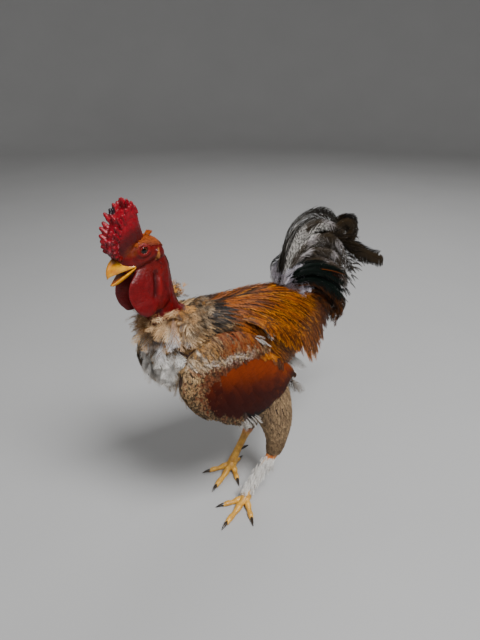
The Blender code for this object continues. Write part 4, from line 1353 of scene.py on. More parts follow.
    def tones(self, places: Array, forms: dict[str, Form]) -> Array:
        """Colours the bare skin: crimson comb and wattles, darker face, pleated neck, cream lobes, with
        painted shade in the neck's pleat furrows, low on the comb and in the fold behind the wattle, and
        painted highlights on the comb's points, the wattle's front rim and the ridge behind the fold.

        Args:
            places: The skin's vertices.
            forms: The bare parts by name.

        Returns:
            A colour for each vertex.
        """
        forward, up, out = self.local(places)
        mottle = rough(places, 0.006, 2.0)
        fine = rough(places, 0.0016, 5.0)
        face = blend("#861a12", "#5e0e0f", 0.5 + 0.5 * mottle)
        low = ramp(-places[:, 2], -0.4, -0.385)
        angle = np.arctan2(places[:, 0], -(places[:, 1] + 0.112))
        # Painted shade and highlight on the neck's pleats: darker in the sculpted furrows, lighter on their
        # ridges.
        pleat = 0.5 + 0.5 * np.sin(angle * 9 + rough(places, 0.02, 3.0) * 6 + places[:, 2] * 30)
        neck = blend("#620810", "#83101b", 0.25 + 0.4 * pleat + 0.4 * mottle)
        colour = blend(face, neck, low)
        comb = ramp(up, 0.013, 0.018) * fade(-forward, 0.018, 0.026)
        base = self.comb_form()
        proud = np.clip((self.near(places, base)) / 0.004, 0, 1)
        deep = fade(proud, 0.2, 0.95) * ramp(np.abs(out), 0.004, 0.01) * (0.9 - 0.55 * ramp(up, 0.024, 0.04))
        front = ramp(forward + 0.5 * up, 0.028, 0.037) * fade(proud, 0.5, 0.8)
        red = layered(
            blend("#8a0624", "#b80e36", 0.5 + 0.5 * mottle),
            # Painted shade on the comb: darker toward its base, and on its flanks between the points, more so
            # lower down.
            ("#5c0814", ramp(-up, -0.026, -0.012) * 0.6),
            ("#5a0a0e", deep),
            # Painted highlight: pale pink on the front faces of the comb's points and warts.
            ("#e09aa4", front * ramp(fine, 0.0, 0.45) * ramp(proud, 0.1, 0.4) * 0.7),
            ("#4c0616", ramp(proud, 0.9, 1.0) * ramp(fine, -0.3, 0.2) * 0.45),
        )
        colour = blend(colour, red, comb)
        for side in Side:
            form = forms["wattle_" + side.word]
            weight = np.exp(-self.near(places, form) / 0.0014) * ramp(-places[:, 2], -0.402, -0.394)
            # Painted highlight: pale pink, broken by noise, along the wattle's lower front rim.
            rim = ramp(-places[:, 1], 0.1585, 0.1635) * ramp(-places[:, 2], -0.39, -0.375)
            wattle = blend("#860e1b", "#6a0812", 0.5 + 0.4 * mottle)
            wattle = blend(wattle, "#c8545a", rim * ramp(fine, -0.2, 0.2) * 0.35)
            colour = blend(colour, wattle, weight)
            lobe = head_place(-0.0105, -0.0078, side.value * 0.0172)
            oval = np.hypot((forward + 0.0105 + (up + 0.0078) * 0.75) / 0.0028, (up + 0.0078) / 0.0062)
            weight = (out * side.value > 0.012) * fade(oval, 0.85, 1.05)
            colour = blend(colour, dye("#a4703e") * (1 + 0.2 * fine[:, None]), weight)
        brow = np.hypot((forward - EYE_AT[0] - 0.0085) / 0.0125, (up - EYE_AT[1] - 0.006) / 0.0072)
        bald = (np.abs(out) > 0.003) * (1 - ramp(proud, 0.5, 0.8) * comb)
        crease, ridge = self.folds(places)
        tip = np.linalg.norm(places - vec(-0.0125, -0.1595, 0.466), axis=1)
        ring = np.hypot((forward - EYE_AT[0]) / 0.0049, (up - EYE_AT[1]) / 0.0042)
        return layered(
            colour,
            ("#7c3c12", fade(brow, 0.7, 1.15) * (0.75 + 0.4 * fine) * bald),
            # Painted shade in the fold behind the wattle, and painted highlight on the ridge behind it.
            ("#3c0509", crease * 0.8),
            ("#9c2420", ridge * 0.5),
            ("#2a0a1c", fade(tip, 0.004, 0.006)),
            ("#801a16", (np.abs(out) > 0.008) * fade(ring, 1.3, 1.9)),
        )


def fused(name: str, pieces: Sequence[Piece]) -> Piece:
    """Joins meshes with their markings to one object, without melting them.

    Args:
        name: The new object's name.
        pieces: The objects, which are removed.

    Returns:
        The new object.
    """
    bm = bmesh.new()
    for piece in pieces:
        bm.from_mesh(piece.data)
        bpy.data.objects.remove(piece)
    return mesh_object(name, bm)


@dataclass
class Eye:
    """One eye: dark pupil in an orange-brown iris under a wet, clear cornea."""

    side: Side

    def build(self) -> Piece:
        """Builds the eyeball as a fine ball whose rings carry the iris.

        Returns:
            The eyeball.
        """
        bm = bmesh.new()
        bmesh.ops.create_uvsphere(bm, u_segments=64, v_segments=64, radius=EYE_RADIUS)
        look = unit(head_way(0.22, 0.06, self.side.value))
        turn = Vector((0, 0, 1)).rotation_difference(Vector(look)).to_matrix().to_4x4()
        centre = head_place(EYE_AT[0], EYE_AT[1], self.side.value * EYE_AT[2])
        bm.transform(Matrix.Translation(Vector(centre)) @ turn)
        eye = mesh_object("eyeball_" + self.side.word, bm)
        rel = corners_of(eye) - centre
        off = np.degrees(np.arccos(np.clip(unit(rel) @ look, -1, 1)))
        rays = rough(unit(rel - (rel @ look)[:, None] * look) * 0.01, 0.0015, 9.0)
        iris = blend("#2c1206", "#54280e", 0.4 + rays + (off - 34) / 30)
        colour = blend("#040303", iris, ramp(off, 24, 27))
        paint(eye, blend(colour, "#140805", ramp(off, 42, 48)))
        return eye

    def finish(self) -> Surface:
        """Wet cornea: water-clear film over the iris, mirror smooth.

        Returns:
            The material.
        """
        mat = bpy.data.materials.new("wet eye")
        mat.use_nodes = True
        tree = mat.node_tree
        shader = tree.nodes["Principled BSDF"]
        shader.inputs["Roughness"].default_value = 0.12
        shader.inputs["IOR"].default_value = 1.38
        shader.inputs["Coat Weight"].default_value = 0.15
        shader.inputs["Coat Roughness"].default_value = 0.05
        marks = add_node(tree, "ShaderNodeAttribute", attribute_name="markings")
        tree.links.new(marks.outputs["Color"], shader.inputs["Base Color"])
        return mat


@dataclass
class Bill:
    """The open bill: two horn halves, flat along the mouth."""

    upper_rows: Rows = mm((
        (18, -2, 13.5), (22.5, 2, 12.5), (27.5, 7.8, 10.8),
        (32, 11.8, 9), (38, 10.4, 7), (43.5, 6.6, 4.7),
        (47, 2.2, 2.2),
    ))
    lower_rows: Rows = mm((
        (18, -9.8, 13.2), (23, -12.5, 11.8), (29, -15, 9.4),
        (36, -16, 6.8), (43, -16, 4.3), (48, -15, 2),
    ))

    def half(self, upper: bool) -> Piece:
        """One half with its culmen and, above, its nostrils.

        Args:
            upper: Whether it is the upper half.

        Returns:
            The half.
        """
        slope = MOUTH_UPPER_SLOPE if upper else MOUTH_LOWER_SLOPE
        sign = 1.0 if upper else -1.0
        rows = through(self.upper_rows if upper else self.lower_rows, 34)
        f = np.linspace(0, 1, 34)
        drop = 0.0016 * f**6 if upper else 0.0
        inner = GAPE[1] + slope * (rows[:, 0] - GAPE[0]) + sign * 0.0003 - drop
        centres = np.array([head_place(r[0], i) for r, i in zip(rows, inner)])
        sizes = beside(rows[:, 2], np.abs(rows[:, 1] - inner), np.full(34, 0.0004))
        form = Form.egg(centres, ACROSS, head_way(0, sign), sizes, 44, 2.1)
        end = head_place(rows[-1, 0] + 0.002, inner[-1] - (0.0012 if upper else 0.0))
        tip = end + (form.rings[-1] - form.rings[-1].mean(axis=0)) * 0.25
        form = Form(np.concatenate([form.rings, tip[None]]))
        bill = form.solid("upper bill" if upper else "lower bill")
        places = corners_of(bill)
        rel = places - HEAD_AT
        forward, up = rel @ head_way(1, 0), rel @ head_way(0, 1)
        if upper:
            pit = np.exp(-(((forward - 0.03) / 0.0022) ** 2 + ((up - 0.004) / 0.001) ** 2))
            places[:, 0] -= np.sign(places[:, 0]) * 0.0007 * pit
            reshape(bill, places)
        mottle = rough(places, 0.006, 1.0)
        gold = blend("#d08000", "#eca806", 0.5 + mottle)
        brown = 0.3 * ramp(-up, 0.014, 0.017)
        if upper:
            brown = ramp(up, 0.006, 0.0105) * fade(forward, 0.033, 0.04)
        colour = blend(gold, "#6a3a10", brown * 0.85)
        if upper:
            colour = blend(colour, "#4a2408", pit * 0.8)
        edge = np.interp(forward, rows[:, 0], rows[:, 2]) - np.abs(places[:, 0])
        mouth = (np.abs(up - (GAPE[1] + slope * (forward - GAPE[0]))) < 0.0022) & (edge > 0.0012)
        # Painted shade inside the open mouth: near black deep in, brown toward the tip.
        inner_tone = blend("#2a0a08", "#8a4414", ramp(forward, 0.026, 0.042))
        paint(bill, np.where(mouth[:, None], inner_tone, colour))
        return bill


@dataclass
class Leg:
    """One bare leg: scaled shank, four toes with pads, claws and the spur."""

    side: Side
    heading: float
    foot_y: float
    hock_y: float
    hock_z: float = 0.066
    ankle_z: float = 0.012
    toes: Rows = (
        (0.0, 0.057, 0.0054), (40.0, 0.037, 0.0051), (-42.0, 0.041, 0.005), (172.0, 0.02, 0.0045),
    )
    shank_rows: Rows = (
        (0.00, 0.0092, 0.008), (0.1, 0.0088, 0.0076), (0.24, 0.0066, 0.0058),
        (0.55, 0.006, 0.0053), (0.82, 0.0064, 0.0057), (1.00, 0.0074, 0.0068),
    )

    def scutes(self, form: Form, pitch: float, height: float, facing: Array) -> Form:
        """Steps a tube into overlapping plates on the side that faces a direction.

        Args:
            form: The tube.
            pitch: Length of a plate.
            height: How far its edge stands out.
            facing: The direction.

        Returns:
            The scaled tube.
        """
        rings = form.rings
        middle = rings.mean(axis=1, keepdims=True)
        way = unit(rings - middle)
        run = np.concatenate([[0.0], np.cumsum(np.linalg.norm(np.diff(middle[:, 0], axis=0), axis=1))])
        saw = (run / pitch) % 1.0
        front = np.clip((way @ facing - 0.15) / 0.5, 0, 1)
        side = 1 - front
        tread = np.clip(saw / 0.75, 0, 1) - np.clip((saw - 0.82) / 0.12, 0, 1) * 1.3
        step = height * tread[:, None] * front
        angle = np.linspace(0, 2 * math.pi, rings.shape[1], endpoint=False)
        bumps = np.sin(run[:, None] * 2 * math.pi / (pitch * 0.62)) * np.sin(angle[None] * 11)
        cell = height * 0.45 * bumps * side
        return Form(rings + way * (step + cell)[..., None])

    def ends(self) -> tuple[Array, Array]:
        """The hock and the ankle."""
        x = self.side.value * 0.037
        return vec(x, self.hock_y, self.hock_z), vec(x, self.foot_y, self.ankle_z)

    def toe_line(self, toe: Sequence[float]) -> tuple[Array, Array, Array]:
        """Points, radii and level direction of one toe.

        Args:
            toe: Its turn from the heading in degrees, its length and its radius.

        Returns:
            Its points, its radii and its direction.
        """
        turn = math.radians(self.heading - self.side.value * toe[0])
        way = np.array((math.sin(turn), -math.cos(turn), 0.0))
        f = np.linspace(0, 1, 60)
        size = toe[2] * (1.0 - 0.34 * f) * (1.0 + 0.12 * np.cos(f * 5 * math.pi))
        height = size * 0.8 + 0.0055 * np.maximum(0.0, 1 - f * 2.2)
        ankle = vec(self.side.value * 0.037, self.foot_y, 0)
        return ankle + way * (toe[1] * f)[:, None] + vec(0, 0, 1) * height[:, None], size, way

    def build(self) -> Piece:
        """Melts shank and toes to one scaled leg and flattens its soles.

        Returns:
            The leg.
        """
        hock, ankle = self.ends()
        way = unit(ankle - hock)
        rows = through(self.shank_rows, 130)
        centres = hock + (ankle - hock) * rows[:, :1]
        ups = np.cross((1.0, 0, 0), way)
        fore = -ups if ups[1] > 0 else ups
        shank = Form.egg(centres, ACROSS, fore, rows[:, [2, 1, 1]], 64)
        pieces = [self.scutes(shank, 0.0052, 0.00055, fore).solid("shank")]
        pieces.append(bead(ankle + vec(0, 0, -0.0035), (0.0082, 0.0088, 0.0078)))
        pieces.append(bead(hock + vec(0, 0.001, 0.001), (0.0088, 0.01, 0.009)))
        for toe in self.toes:
            line, size, _ = self.toe_line(toe)
            tube = Form.tube(line, size, 40, (0, 0, 1), 0.92)
            pieces.append(self.scutes(tube, 0.0034, 0.00045, vec(0, 0, 1)).solid("toe"))
        leg = merged("leg_" + self.side.word, pieces, 0.00055, 1)
        places = corners_of(leg)
        places[:, 2] = np.maximum(places[:, 2], 0.0)
        reshape(leg, places)
        mottle = rough(places, 0.008, 4.0)
        fine = rough(places, 0.0022, 6.0)
        normals = normals_of(leg)
        colour = blend("#dda63e", "#b98532", 0.5 + mottle + 0.5 * fine)
        # Painted shade: darker where the surface faces down, low near the floor.
        colour = blend(colour, "#8a6a34", ramp(-normals[:, 2], 0.2, 0.9) * ramp(-places[:, 2], -0.01, -0.003))
        paint(leg, blend(colour, "#b04a1e", ramp(places[:, 2], 0.054, 0.066) * (0.75 + 0.3 * fine)))
        return leg

    def claws(self) -> Piece:
        """The four claws and the spur, as curved horn.

        Returns:
            The horn, one object.
        """
        pieces = []
        for k, toe in enumerate(self.toes):
            line, size, way = self.toe_line(toe)
            reach = 0.012 * (0.8 if k == 3 else 1.0)
            f = np.linspace(-0.2, 1.0, 16)
            path = line[-1] + way * (reach * f)[:, None] + vec(0, 0, 1) * (0.001 - 0.0018 * f**2)[:, None]
            radii = size[-1] * np.interp(f, (-0.2, 0.04, 0.35, 0.7, 1.0), (0.8, 0.84, 0.66, 0.42, 0.12))
            path[:, 2] = np.maximum(path[:, 2], radii + 0.0001)
            pieces.append(Form.tube(path, radii, 18).solid("claw"))
        hock, ankle = self.ends()
        root = hock + (ankle - hock) * 0.66
        way = unit(vec(-self.side.value * 0.5, 0.8, 0.12))
        f = np.linspace(0.1, 1.0, 16)
        path = root + way * (0.017 * f)[:, None] + vec(0, 0, 0.003) * (f**2)[:, None]
        pieces.append(Form.tube(path, 0.0036 * (1.02 - f) ** 0.7 + 0.0004, 18).solid("spur"))
        claws = fused("claws_" + self.side.word, pieces)
        places = corners_of(claws)
        paint(claws, blend("#15100c", "#4a3826", 0.25 + 0.6 * rough(places, 0.004, 8.0)))
        return claws


@dataclass
class Coat:
    """A part of the plumage, laid on the body by a seeded source of chance.

    Attributes:
        body: The flesh that the feathers grow on.
        rng: The source of chance that all coats share, in the order in which they are built.
        finishes: The materials by name.
    """

    body: Body
    rng: Chance
    finishes: dict[str, Surface]

    def way(self, place: Array, normal: Array) -> Array:
        """The lie of the coat at a place with its normal: all but straight down."""
        return vec(0, 0.1, -1)

    def draw(self, span: Span, count: int) -> Array:
        """As many sizes as asked for, drawn evenly from a span."""
        return self.rng.uniform(*span, count)

    def laid(
        self, tree: BVHTree, form: Form, shares: Array, sizes: Array, halves: Array,
        rise: Span, outline: Sequence[float], steps: int,
    ) -> Batch:
        """Lays feathers along a surface.

        Args:
            tree: The surface that they lie on.
            form: The form that they are rooted in.
            shares: Their places around and along it.
            sizes: Their lengths.
            halves: Their half widths.
            rise: Height over the surface at the root and at the tip.
            outline: Share of the width at root and tip, and of the length at the widest place.
            steps: Points along each path.

        Returns:
            The feathers.
        """
        points, normals = march(tree, form.at(*shares.T), self.way, sizes, rise, steps)
        return Batch(points, normals, profile(steps, halves, *outline), shares % 1.0)

    def woven(
        self, name: str, batch: Batch, weave: Weave, tones: Paint, finish: str,
        rng: Chance, shades: Chance | None = None,
    ) -> Piece:
        """Weaves a batch to one object with its markings and both of its UV maps.

        Args:
            name: The piece's name.
            batch: The feathers.
            weave: How their barbs are set.
            tones: Gives a linear colour for each vertex of the woven batch.
            finish: The material's name among the finishes.
            rng: The seeded source of chance for the barbs and then the tones.
            shades: Another source for the tones.

        Returns:
            The coat piece.
        """
        verts, quads = weave.vanes(batch, rng)
        mesh = bpy.data.meshes.new(name)
        mesh.vertices.add(len(verts))
        mesh.vertices.foreach_set("co", verts.ravel())
        mesh.loops.add(quads.size)
        mesh.loops.foreach_set("vertex_index", quads.ravel().astype(np.int32))
        mesh.polygons.add(len(quads))
        mesh.polygons.foreach_set("loop_start", np.arange(0, quads.size, 4, dtype=np.int32))
        mesh.polygons.foreach_set("use_smooth", np.ones(len(quads), dtype=bool))
        mesh.update(calc_edges=True)
        patch = batch.each(batch.unwrap) + beside(batch.out * 0.0014, (batch.share - 0.5) * 0.0028)
        long = np.linalg.norm(np.diff(batch.points, axis=1), axis=2).sum(axis=1) * MM
        barbs = batch.share * batch.each(long) - np.abs(batch.out) * 2.0
        lines = beside(batch.out * 0.6 + batch.owner * 0.37, barbs)
        for label, values in (("OFBake", np.clip(patch, 0.0, 1.0)), ("vane", lines)):
            layer = mesh.uv_layers.new(name=label)
            layer.data.foreach_set("uv", values[quads.ravel()].ravel())
        obj = bpy.data.objects.new(name, mesh)
        bpy.context.scene.collection.objects.link(obj)
        paint(obj, tones(batch, shades or rng))
        mesh.materials.append(self.finishes[finish])
        return obj


@dataclass
class BackCoat(Coat):
    """Cape over the shoulders and the long golden saddle hackles that fall over the wings.

    Attributes:
        strands: How many hackles hang free.
        path: Points along each hackle.
        heads: The line along the left of the back from which they fall.
        feet: The line to which they fall.
    """

    strands: int = 860
    path: int = 9
    heads: Rows = mm(((30, -40, 318), (34, 10, 318), (34, 45, 316), (30, 75, 312), (22, 105, 308)))
    feet: Rows = mm((
        (63, -8, 304), (68, 26, 274), (66, 68, 240), (50, 108, 210),
        (38, 134, 216), (26, 165, 255), (18, 190, 288),
    ))

    def way(self, place: Array, normal: Array) -> Array:
        """Backward, and outward down the sides."""
        down = vec(math.copysign(abs(normal[2]), place[0]), 0, -abs(normal[0]))
        return vec(0, 1, 0) + down * (0.12 + 0.85 * min(1.0, abs(place[0]) / 0.045))

    def lay(
        self, shares: Array, length: Span, half: float, rise: Span, steps: int, outline: Sequence[float],
    ) -> Batch:
        """Lays feathers rooted in the trunk over all that covers it.

        Args:
            shares: Their places around and along the trunk.
            length: Shortest and longest.
            half: Usual half width.
            rise: Height over the surface at the root and at the tip.
            steps: Points along each path.
            outline: Share of the width at root and tip, and of the length at the widest place.

        Returns:
            The feathers.
        """
        sizes = self.draw(length, len(shares))
        halves = half * self.draw((0.85, 1.15), len(shares))
        return self.laid(self.body.cover, self.body.trunk, shares, sizes, halves, rise, outline, steps)

    def saddle(self) -> list[Piece]:
        """Long pointed hackles with a dark streak along each shaft, on the back and hanging free.

        Returns:
            The hackles on the back, and those that hang free.
        """
        shares = scatter(27, 32, (CREST - 0.205, 0.36), (CREST + 0.205, 0.8), self.rng)
        pointed = (0.5, 0.05, 0.4)
        batch = self.lay(shares, (0.06, 0.09), 0.0028, (-0.0005, 0.0062), self.path, pointed)
        loose = strewn(130, (0.075, 0.5), (0.145, 0.78), self.rng)
        loose[::2, 0] = 2 * CREST - loose[::2, 0]
        over = self.lay(loose, (0.085, 0.108), 0.0032, (0.0, 0.0085), self.path, pointed)
        hanging, rng = self.drape(), seeded(5)
        weave = Weave(13, 0.9, 0.12, 0.28, 0.3, 0.0006)
        drape = self.woven("saddle drape", hanging, weave, self.saddle_tones, "glossy", rng)
        weave, batch = Weave(15, 0.95, 0.12, 0.25, 0.35, 0.0005), joined([batch, over])
        return [self.woven("saddle hackles", batch, weave, self.saddle_tones, "glossy", rng), drape]

    def saddle_tones(self, b: Batch, rng: Chance) -> Array:
        """Colours the hackles: umber root, gold to flame, dark core, specks on the rump, and a painted shadow
        patch on the back.

        Args:
            b: The woven feathers.
            rng: The seeded source of chance.

        Returns:
            A colour for each vertex.
        """
        tone = b.own(rng, 0.52)
        core = fade(np.abs(b.out), 0.3, 0.65) * ramp(b.share, 0.2, 0.5) * fade(b.share, 0.88, 1.0)
        rump = ramp(b.places[:, 1] + 0.35 * (b.places[:, 2] - 0.3), 0.106, 0.13)
        # Painted shadow: a soot-dark patch of hackles on the back where a gap between them lies in shade.
        gap = np.linalg.norm((b.each(b.points[:, 5]) - vec(0.022, 0, 0.34)) * vec(0.8, 0.6, 1), axis=1)
        speck = ramp(rough(b.places, 0.0018, 7.0), -0.1, 0.4)
        return layered(
            blend("umber", "gold", ramp(b.share, 0.15, 0.45)),
            ("flame", ramp(b.share, 0.45, 1.0) * 0.8 + tone),
            ("streak", core * np.clip(0.95 + tone, 0, 1)),
            ("streak", (b.lot(rng) > 0.8) * 0.6),
            (blend(dye("streak") * 0.5, "gold", speck * 0.5), rump * 0.9),
            # The painted shadow patch on the back.
            ("soot", fade(gap, 0.006, 0.011) * 0.9),
        )

    def drape(self) -> Batch:
        """The longest hackles, which hang free past the wing's rear edge and behind the thigh.

        Returns:
            The hackles of both sides.
        """
        heads, feet = through(self.heads, 40), through(self.feet, 40)
        count = self.strands
        spot = strewn(count, (0.0, 0.0), (39.0, 0.5), self.rng)
        spot[:, 0] = 39.0 * (spot[:, 0] / 39.0) ** 0.75
        reach = np.minimum(spot[:, 1] + self.draw((0.45, 0.6), count), self.draw((0.94, 1.04), count))
        f = np.linspace(0, 1, self.path)
        w = spot[:, 1:] + (reach - spot[:, 1])[:, None] * f
        t = np.clip(spot[:, :1] + self.rng.normal(0, 1.2, (count, 1)) * f, 0, 38.9)
        i = t.astype(int)
        top, low = (line[i] + (line[i + 1] - line[i]) * (t - i)[..., None] for line in (heads, feet))
        points = top + (low - top) * w[..., None]
        points += vec(0.004, 0.01, 0.002) * np.sin(np.clip(w, 0, 1) * math.pi)[..., None]
        normals = np.empty_like(points)
        for n, k in np.ndindex(count, self.path):
            hit, normal, _, _ = self.body.cover.find_nearest(Vector(points[n, k]))
            need = 0.0004 + 0.005 * f[k] - (points[n, k] - np.array(hit)) @ np.array(normal)
            points[n, k] += np.array(normal) * max(0.0, need)
            normals[n, k] = normal
        normals = unit(normals + vec(1.2, 0.1, 0.3))
        widths = profile(self.path, self.draw((0.0024, 0.0034), count), 0.5, 0.06, 0.45)
        left = Batch(points, normals, widths, beside(0.55 + spot[:, 0] * 0.01, 0.1 + spot[:, 1]))
        halves = []
        for k, b in enumerate((left, mirrored(left))):
            keep = np.arange(count) % 2 == k
            unwrap = np.abs(b.unwrap[keep] - (k, 0))
            halves.append(Batch(b.points[keep], b.normals[keep], b.widths[keep], unwrap))
        return joined(halves)

    def cape(self) -> Piece:
        """Shorter cream hackles with black edges over the shoulders.

        Returns:
            The coat piece.
        """
        shares = scatter(12, 26, (CREST - 0.19, 0.15), (CREST + 0.19, 0.4), self.rng)
        batch = self.lay(shares, (0.032, 0.046), 0.0036, (-0.0005, 0.005), 7, (0.5, 0.1, 0.45))
        weave = Weave(11, 1.1, 0.12, 0.2, 0.35)
        return self.woven("cape hackles", batch, weave, self.cape_tones, "glossy", seeded(6))

    def cape_tones(self, b: Batch, rng: Chance) -> Array:
        """Colours the cape: cream and tan with black spots, greyer at the sides, golden behind.

        Args:
            b: The woven feathers.
            rng: The seeded source of chance.

        Returns:
            A colour for each vertex.
        """
        tone = b.own(rng, 0.3)
        along = b.root[:, 1]
        rear = ramp(along, -0.102, -0.08)
        spot = ramp(rough(b.places, 0.0026, 3.0), -0.42, -0.12) * (0.3 + 0.7 * ramp(along, -0.104, -0.092))
        return layered(
            blend("cream", blend("tan", "umber", 0.35 + 0.45 * rear), 0.55 + 0.45 * rear + tone),
            ("soot", spot * (0.92 + 0.3 * tone)),
            (blend("ash", "umber", 0.5 + tone), ramp(np.abs(b.root[:, 0]), 0.034, 0.046) * 0.7),
            (blend("gold", "streak", 0.35 + tone), ramp(along, -0.064, -0.044) * 0.9),
        )


@dataclass
class TrunkCoat(Coat):
    """Rounded body feathers of the breast, flanks and belly, and the fluff under the tail."""

    lengths: Span = (0.02, 0.028)
    halves: Span = (0.0048, 0.0066)

    def way(self, place: Array, normal: Array) -> Array:
        """Down the breast, back along the belly."""
        front = float(ramp(np.array(-place[1]), 0.02, 0.11))
        return vec(0, 1 - 0.75 * front, -0.25 - 0.9 * front)

    def build(self) -> Piece:
        """Lays the rounded feathers, all but those that the saddle hides.

        Returns:
            The coat piece.
        """
        shares = scatter(34, 40, (0.0, 0.02), (1.0, 0.97), self.rng)
        top = np.abs((shares[:, 0] - CREST + 0.5) % 1.0 - 0.5)
        shares = shares[(top > 0.17) | (shares[:, 1] < 0.17) | (shares[:, 1] > 0.76)]
        trunk = self.body.trunk
        sizes, halves = self.draw(self.lengths, len(shares)), self.draw(self.halves, len(shares))
        batch = self.laid(trunk.tree, trunk, shares, sizes, halves, (-0.0005, 0.0036), (0.5, 0.45, 0.6), 5)
        weave = Weave(8, 1.1, 0.22, 0.25, 0.35)
        return self.woven("body feathers", batch, weave, self.tones, "matt", seeded(8))

    def tones(self, b: Batch, rng: Chance) -> Array:
        """Colours the trunk: barred umber and ash, paler on the breast and under the tail.

        Args:
            b: The woven feathers.
            rng: The seeded source of chance.

        Returns:
            A colour for each vertex.
        """
        tone = b.own(rng, 0.25)
        bars = 0.5 + 0.5 * np.sin(b.share * 26 + b.lot(rng, 6))
        return layered(
            blend("umber", "ash", 0.35 + tone),
            ("cream", bars * 0.45),
            (blend("tan", "ash", 0.5 + tone), ramp(-b.root[:, 1], 0.085, 0.115) * 0.5),
            (blend("frost", "ash", 0.3 + tone), ramp(b.root[:, 1], 0.09, 0.13) * 0.8),
        )


@dataclass
class WingCoat(Coat):
    """The folded wing: bow, pale bar, mahogany shield with a speckled rim, dark fringe and primaries.

    Attributes:
        primaries: How many primaries show.
        fringe: How many feathers the dark fringe has.
        lengths: Shortest and longest small covert.
    """

    primaries: int = 8
    fringe: int = 26
    lengths: Span = (0.01, 0.015)

    @property
    def form(self) -> Form:
        """The wing that is dressed; the other is its mirror image."""
        return self.body.wings[Side.LEFT]

    def local(self, places: Array) -> tuple[Array, Array]:
        """How far along the wing's line and up from it places lie."""
        rel = places - vec(0, *self.body.wrist)
        return rel @ self.body.along, rel @ self.body.upward

    def rim(self, s: Array, n: Array) -> Array:
        """How far out from the shield's middle places lie, 1 on its edge."""
        return np.hypot((s - 0.11) / 0.084, (n + 0.002) / 0.044)

    def way(self, place: Array, normal: Array) -> Array:
        """Steeply down at the wrist and ever flatter toward the tip."""
        turn = math.radians(-64.0 + 46.0 * float(np.clip(self.local(place)[0] / 0.2, 0, 1)))
        return self.body.along * math.cos(turn) + self.body.upward * math.sin(turn)

    def lay(
        self, s: Array, n: Array, sizes: Array, halves: Array, rise: Span, steps: int, tip: float = 0.4,
    ) -> Batch:
        """Lays feathers rooted at places of the wing's plane.

        Args:
            s: How far along the wing's line they are rooted.
            n: How far up from it.
            sizes: Their lengths.
            halves: Their half widths.
            rise: Height over the surface at the root and at the tip.
            steps: Points along each path.
            tip: Share of the width at the tip.

        Returns:
            The feathers.
        """
        outer = vec(0.075, *self.body.wrist)
        roots = outer + np.multiply.outer(s, self.body.along) + np.multiply.outer(n, self.body.upward)
        points, normals = march(self.form.tree, roots, self.way, sizes, rise, steps)
        unwrap = np.clip(beside(0.5 + n * 3.4, 0.05 + s * 4.2), 0.02, 0.98)
        widths = profile(steps, halves, 0.6, tip, 0.6)
        return Batch(points, unit(normals * 0.5 + vec(0.5, 0, 0)), widths, unwrap)

    def quills(self) -> Batch:
        """Primaries, the fringe, and the shield's two rows of large smooth vanes.

        Returns:
            The quills of the left wing.
        """
        f, half = np.linspace(0, 1, self.primaries), np.full(self.primaries, 0.0068)
        primary = self.lay(0.1 + 0.04 * f, -0.034 + 0.04 * f, 0.066 - 0.012 * f, half, (0.0, 0.0004), 9, 0.3)
        f, half = np.linspace(0, 1, self.fringe), np.full(self.fringe, 0.0046)
        long = 0.052 + 0.012 * np.sin(math.pi * f)
        fringe = self.lay(0.02 + 0.116 * f, -0.012 + 0.022 * f, long, half, (0.0, 0.001), 9, 0.3)
        spread = strewn(120, (-0.95, -0.95), (0.95, 0.95), self.rng)
        spread = spread[np.hypot(spread[:, 0], spread[:, 1]) < 0.95]
        spread = spread[np.argsort(-spread[:, 0])]
        s, n = 0.084 + 0.076 * spread[:, 0], 0.014 + 0.034 * spread[:, 1]
        long, half = 0.042 + 0.01 * (1 - np.abs(spread[:, 0])), np.full(len(s), 0.0084)
        return joined([primary, fringe, self.lay(s, n, long, half, (0.001, 0.0032), 9, 0.5)])

    def coverts(self) -> Batch:
        """Small feathers of the wrist, the bow, the bar and the speckled rim.

        Returns:
            The coverts of the left wing.
        """
        s, n = strewn(3000, (-0.01, -0.066), (0.2, 0.074), self.rng).T
        table = np.array(self.body.wing_rows)
        up = np.interp(s, table[:, 0], table[:, 1]) + 0.002
        low = np.interp(s, table[:, 0], table[:, 2]) - 0.006
        keep = (n < up) & (n > -low) & (self.rim(s, n) > 1.0) & ~((s > 0.1) & (n < -0.02))
        s, n = s[keep], n[keep]
        sizes, halves = self.draw(self.lengths, len(s)), self.draw((0.0022, 0.0032), len(s))
        flat = self.lay(s, n, sizes, halves, (0.0012, 0.003), 6)
        leading = strewn(420, (-0.3, 0.0), (0.3, 0.3), self.rng)
        edge = np.concatenate([leading, strewn(420, (0.1, 0.1), (0.4, 0.66), self.rng)])
        sizes, halves = self.draw(self.lengths, len(edge)), self.draw((0.0024, 0.0034), len(edge))
        tree, form = self.form.tree, self.form
        around = self.laid(tree, form, edge, sizes, halves, (0.0, 0.0028), (0.6, 0.4, 0.6), 6)
        over = strewn(300, (0.2, 0.03), (0.42, 0.72), self.rng)
        way = self.body.along * 0.8 + vec(1.1, 0, 0) - self.body.upward * 0.8
        sizes = self.draw((0.018, 0.028), 300)
        paths, faces = march(tree, form.at(*over.T), lambda place, normal: way, sizes, (0.001, 0.0042), 6)
        laps = Batch(paths, faces, profile(6, self.draw((0.0026, 0.0038), 300), 0.6, 0.3, 0.6), over % 1.0)
        return joined([flat, around, laps])

    def quill_tones(self, b: Batch, rng: Chance) -> Array:
        """Colours the quills: rusty above and mahogany below, a gradient of painted light and shade, black
        primaries and a maroon fringe.

        Args:
            b: The woven feathers.
            rng: The seeded source of chance.

        Returns:
            A colour for each vertex.
        """
        tone = b.own(rng, 0.07)
        s, n = self.local(b.places)
        gold = ramp(s, 0.148, 0.165) * ramp(np.abs(b.out), 0.5, 0.9) * fade(s, 0.182, 0.195)
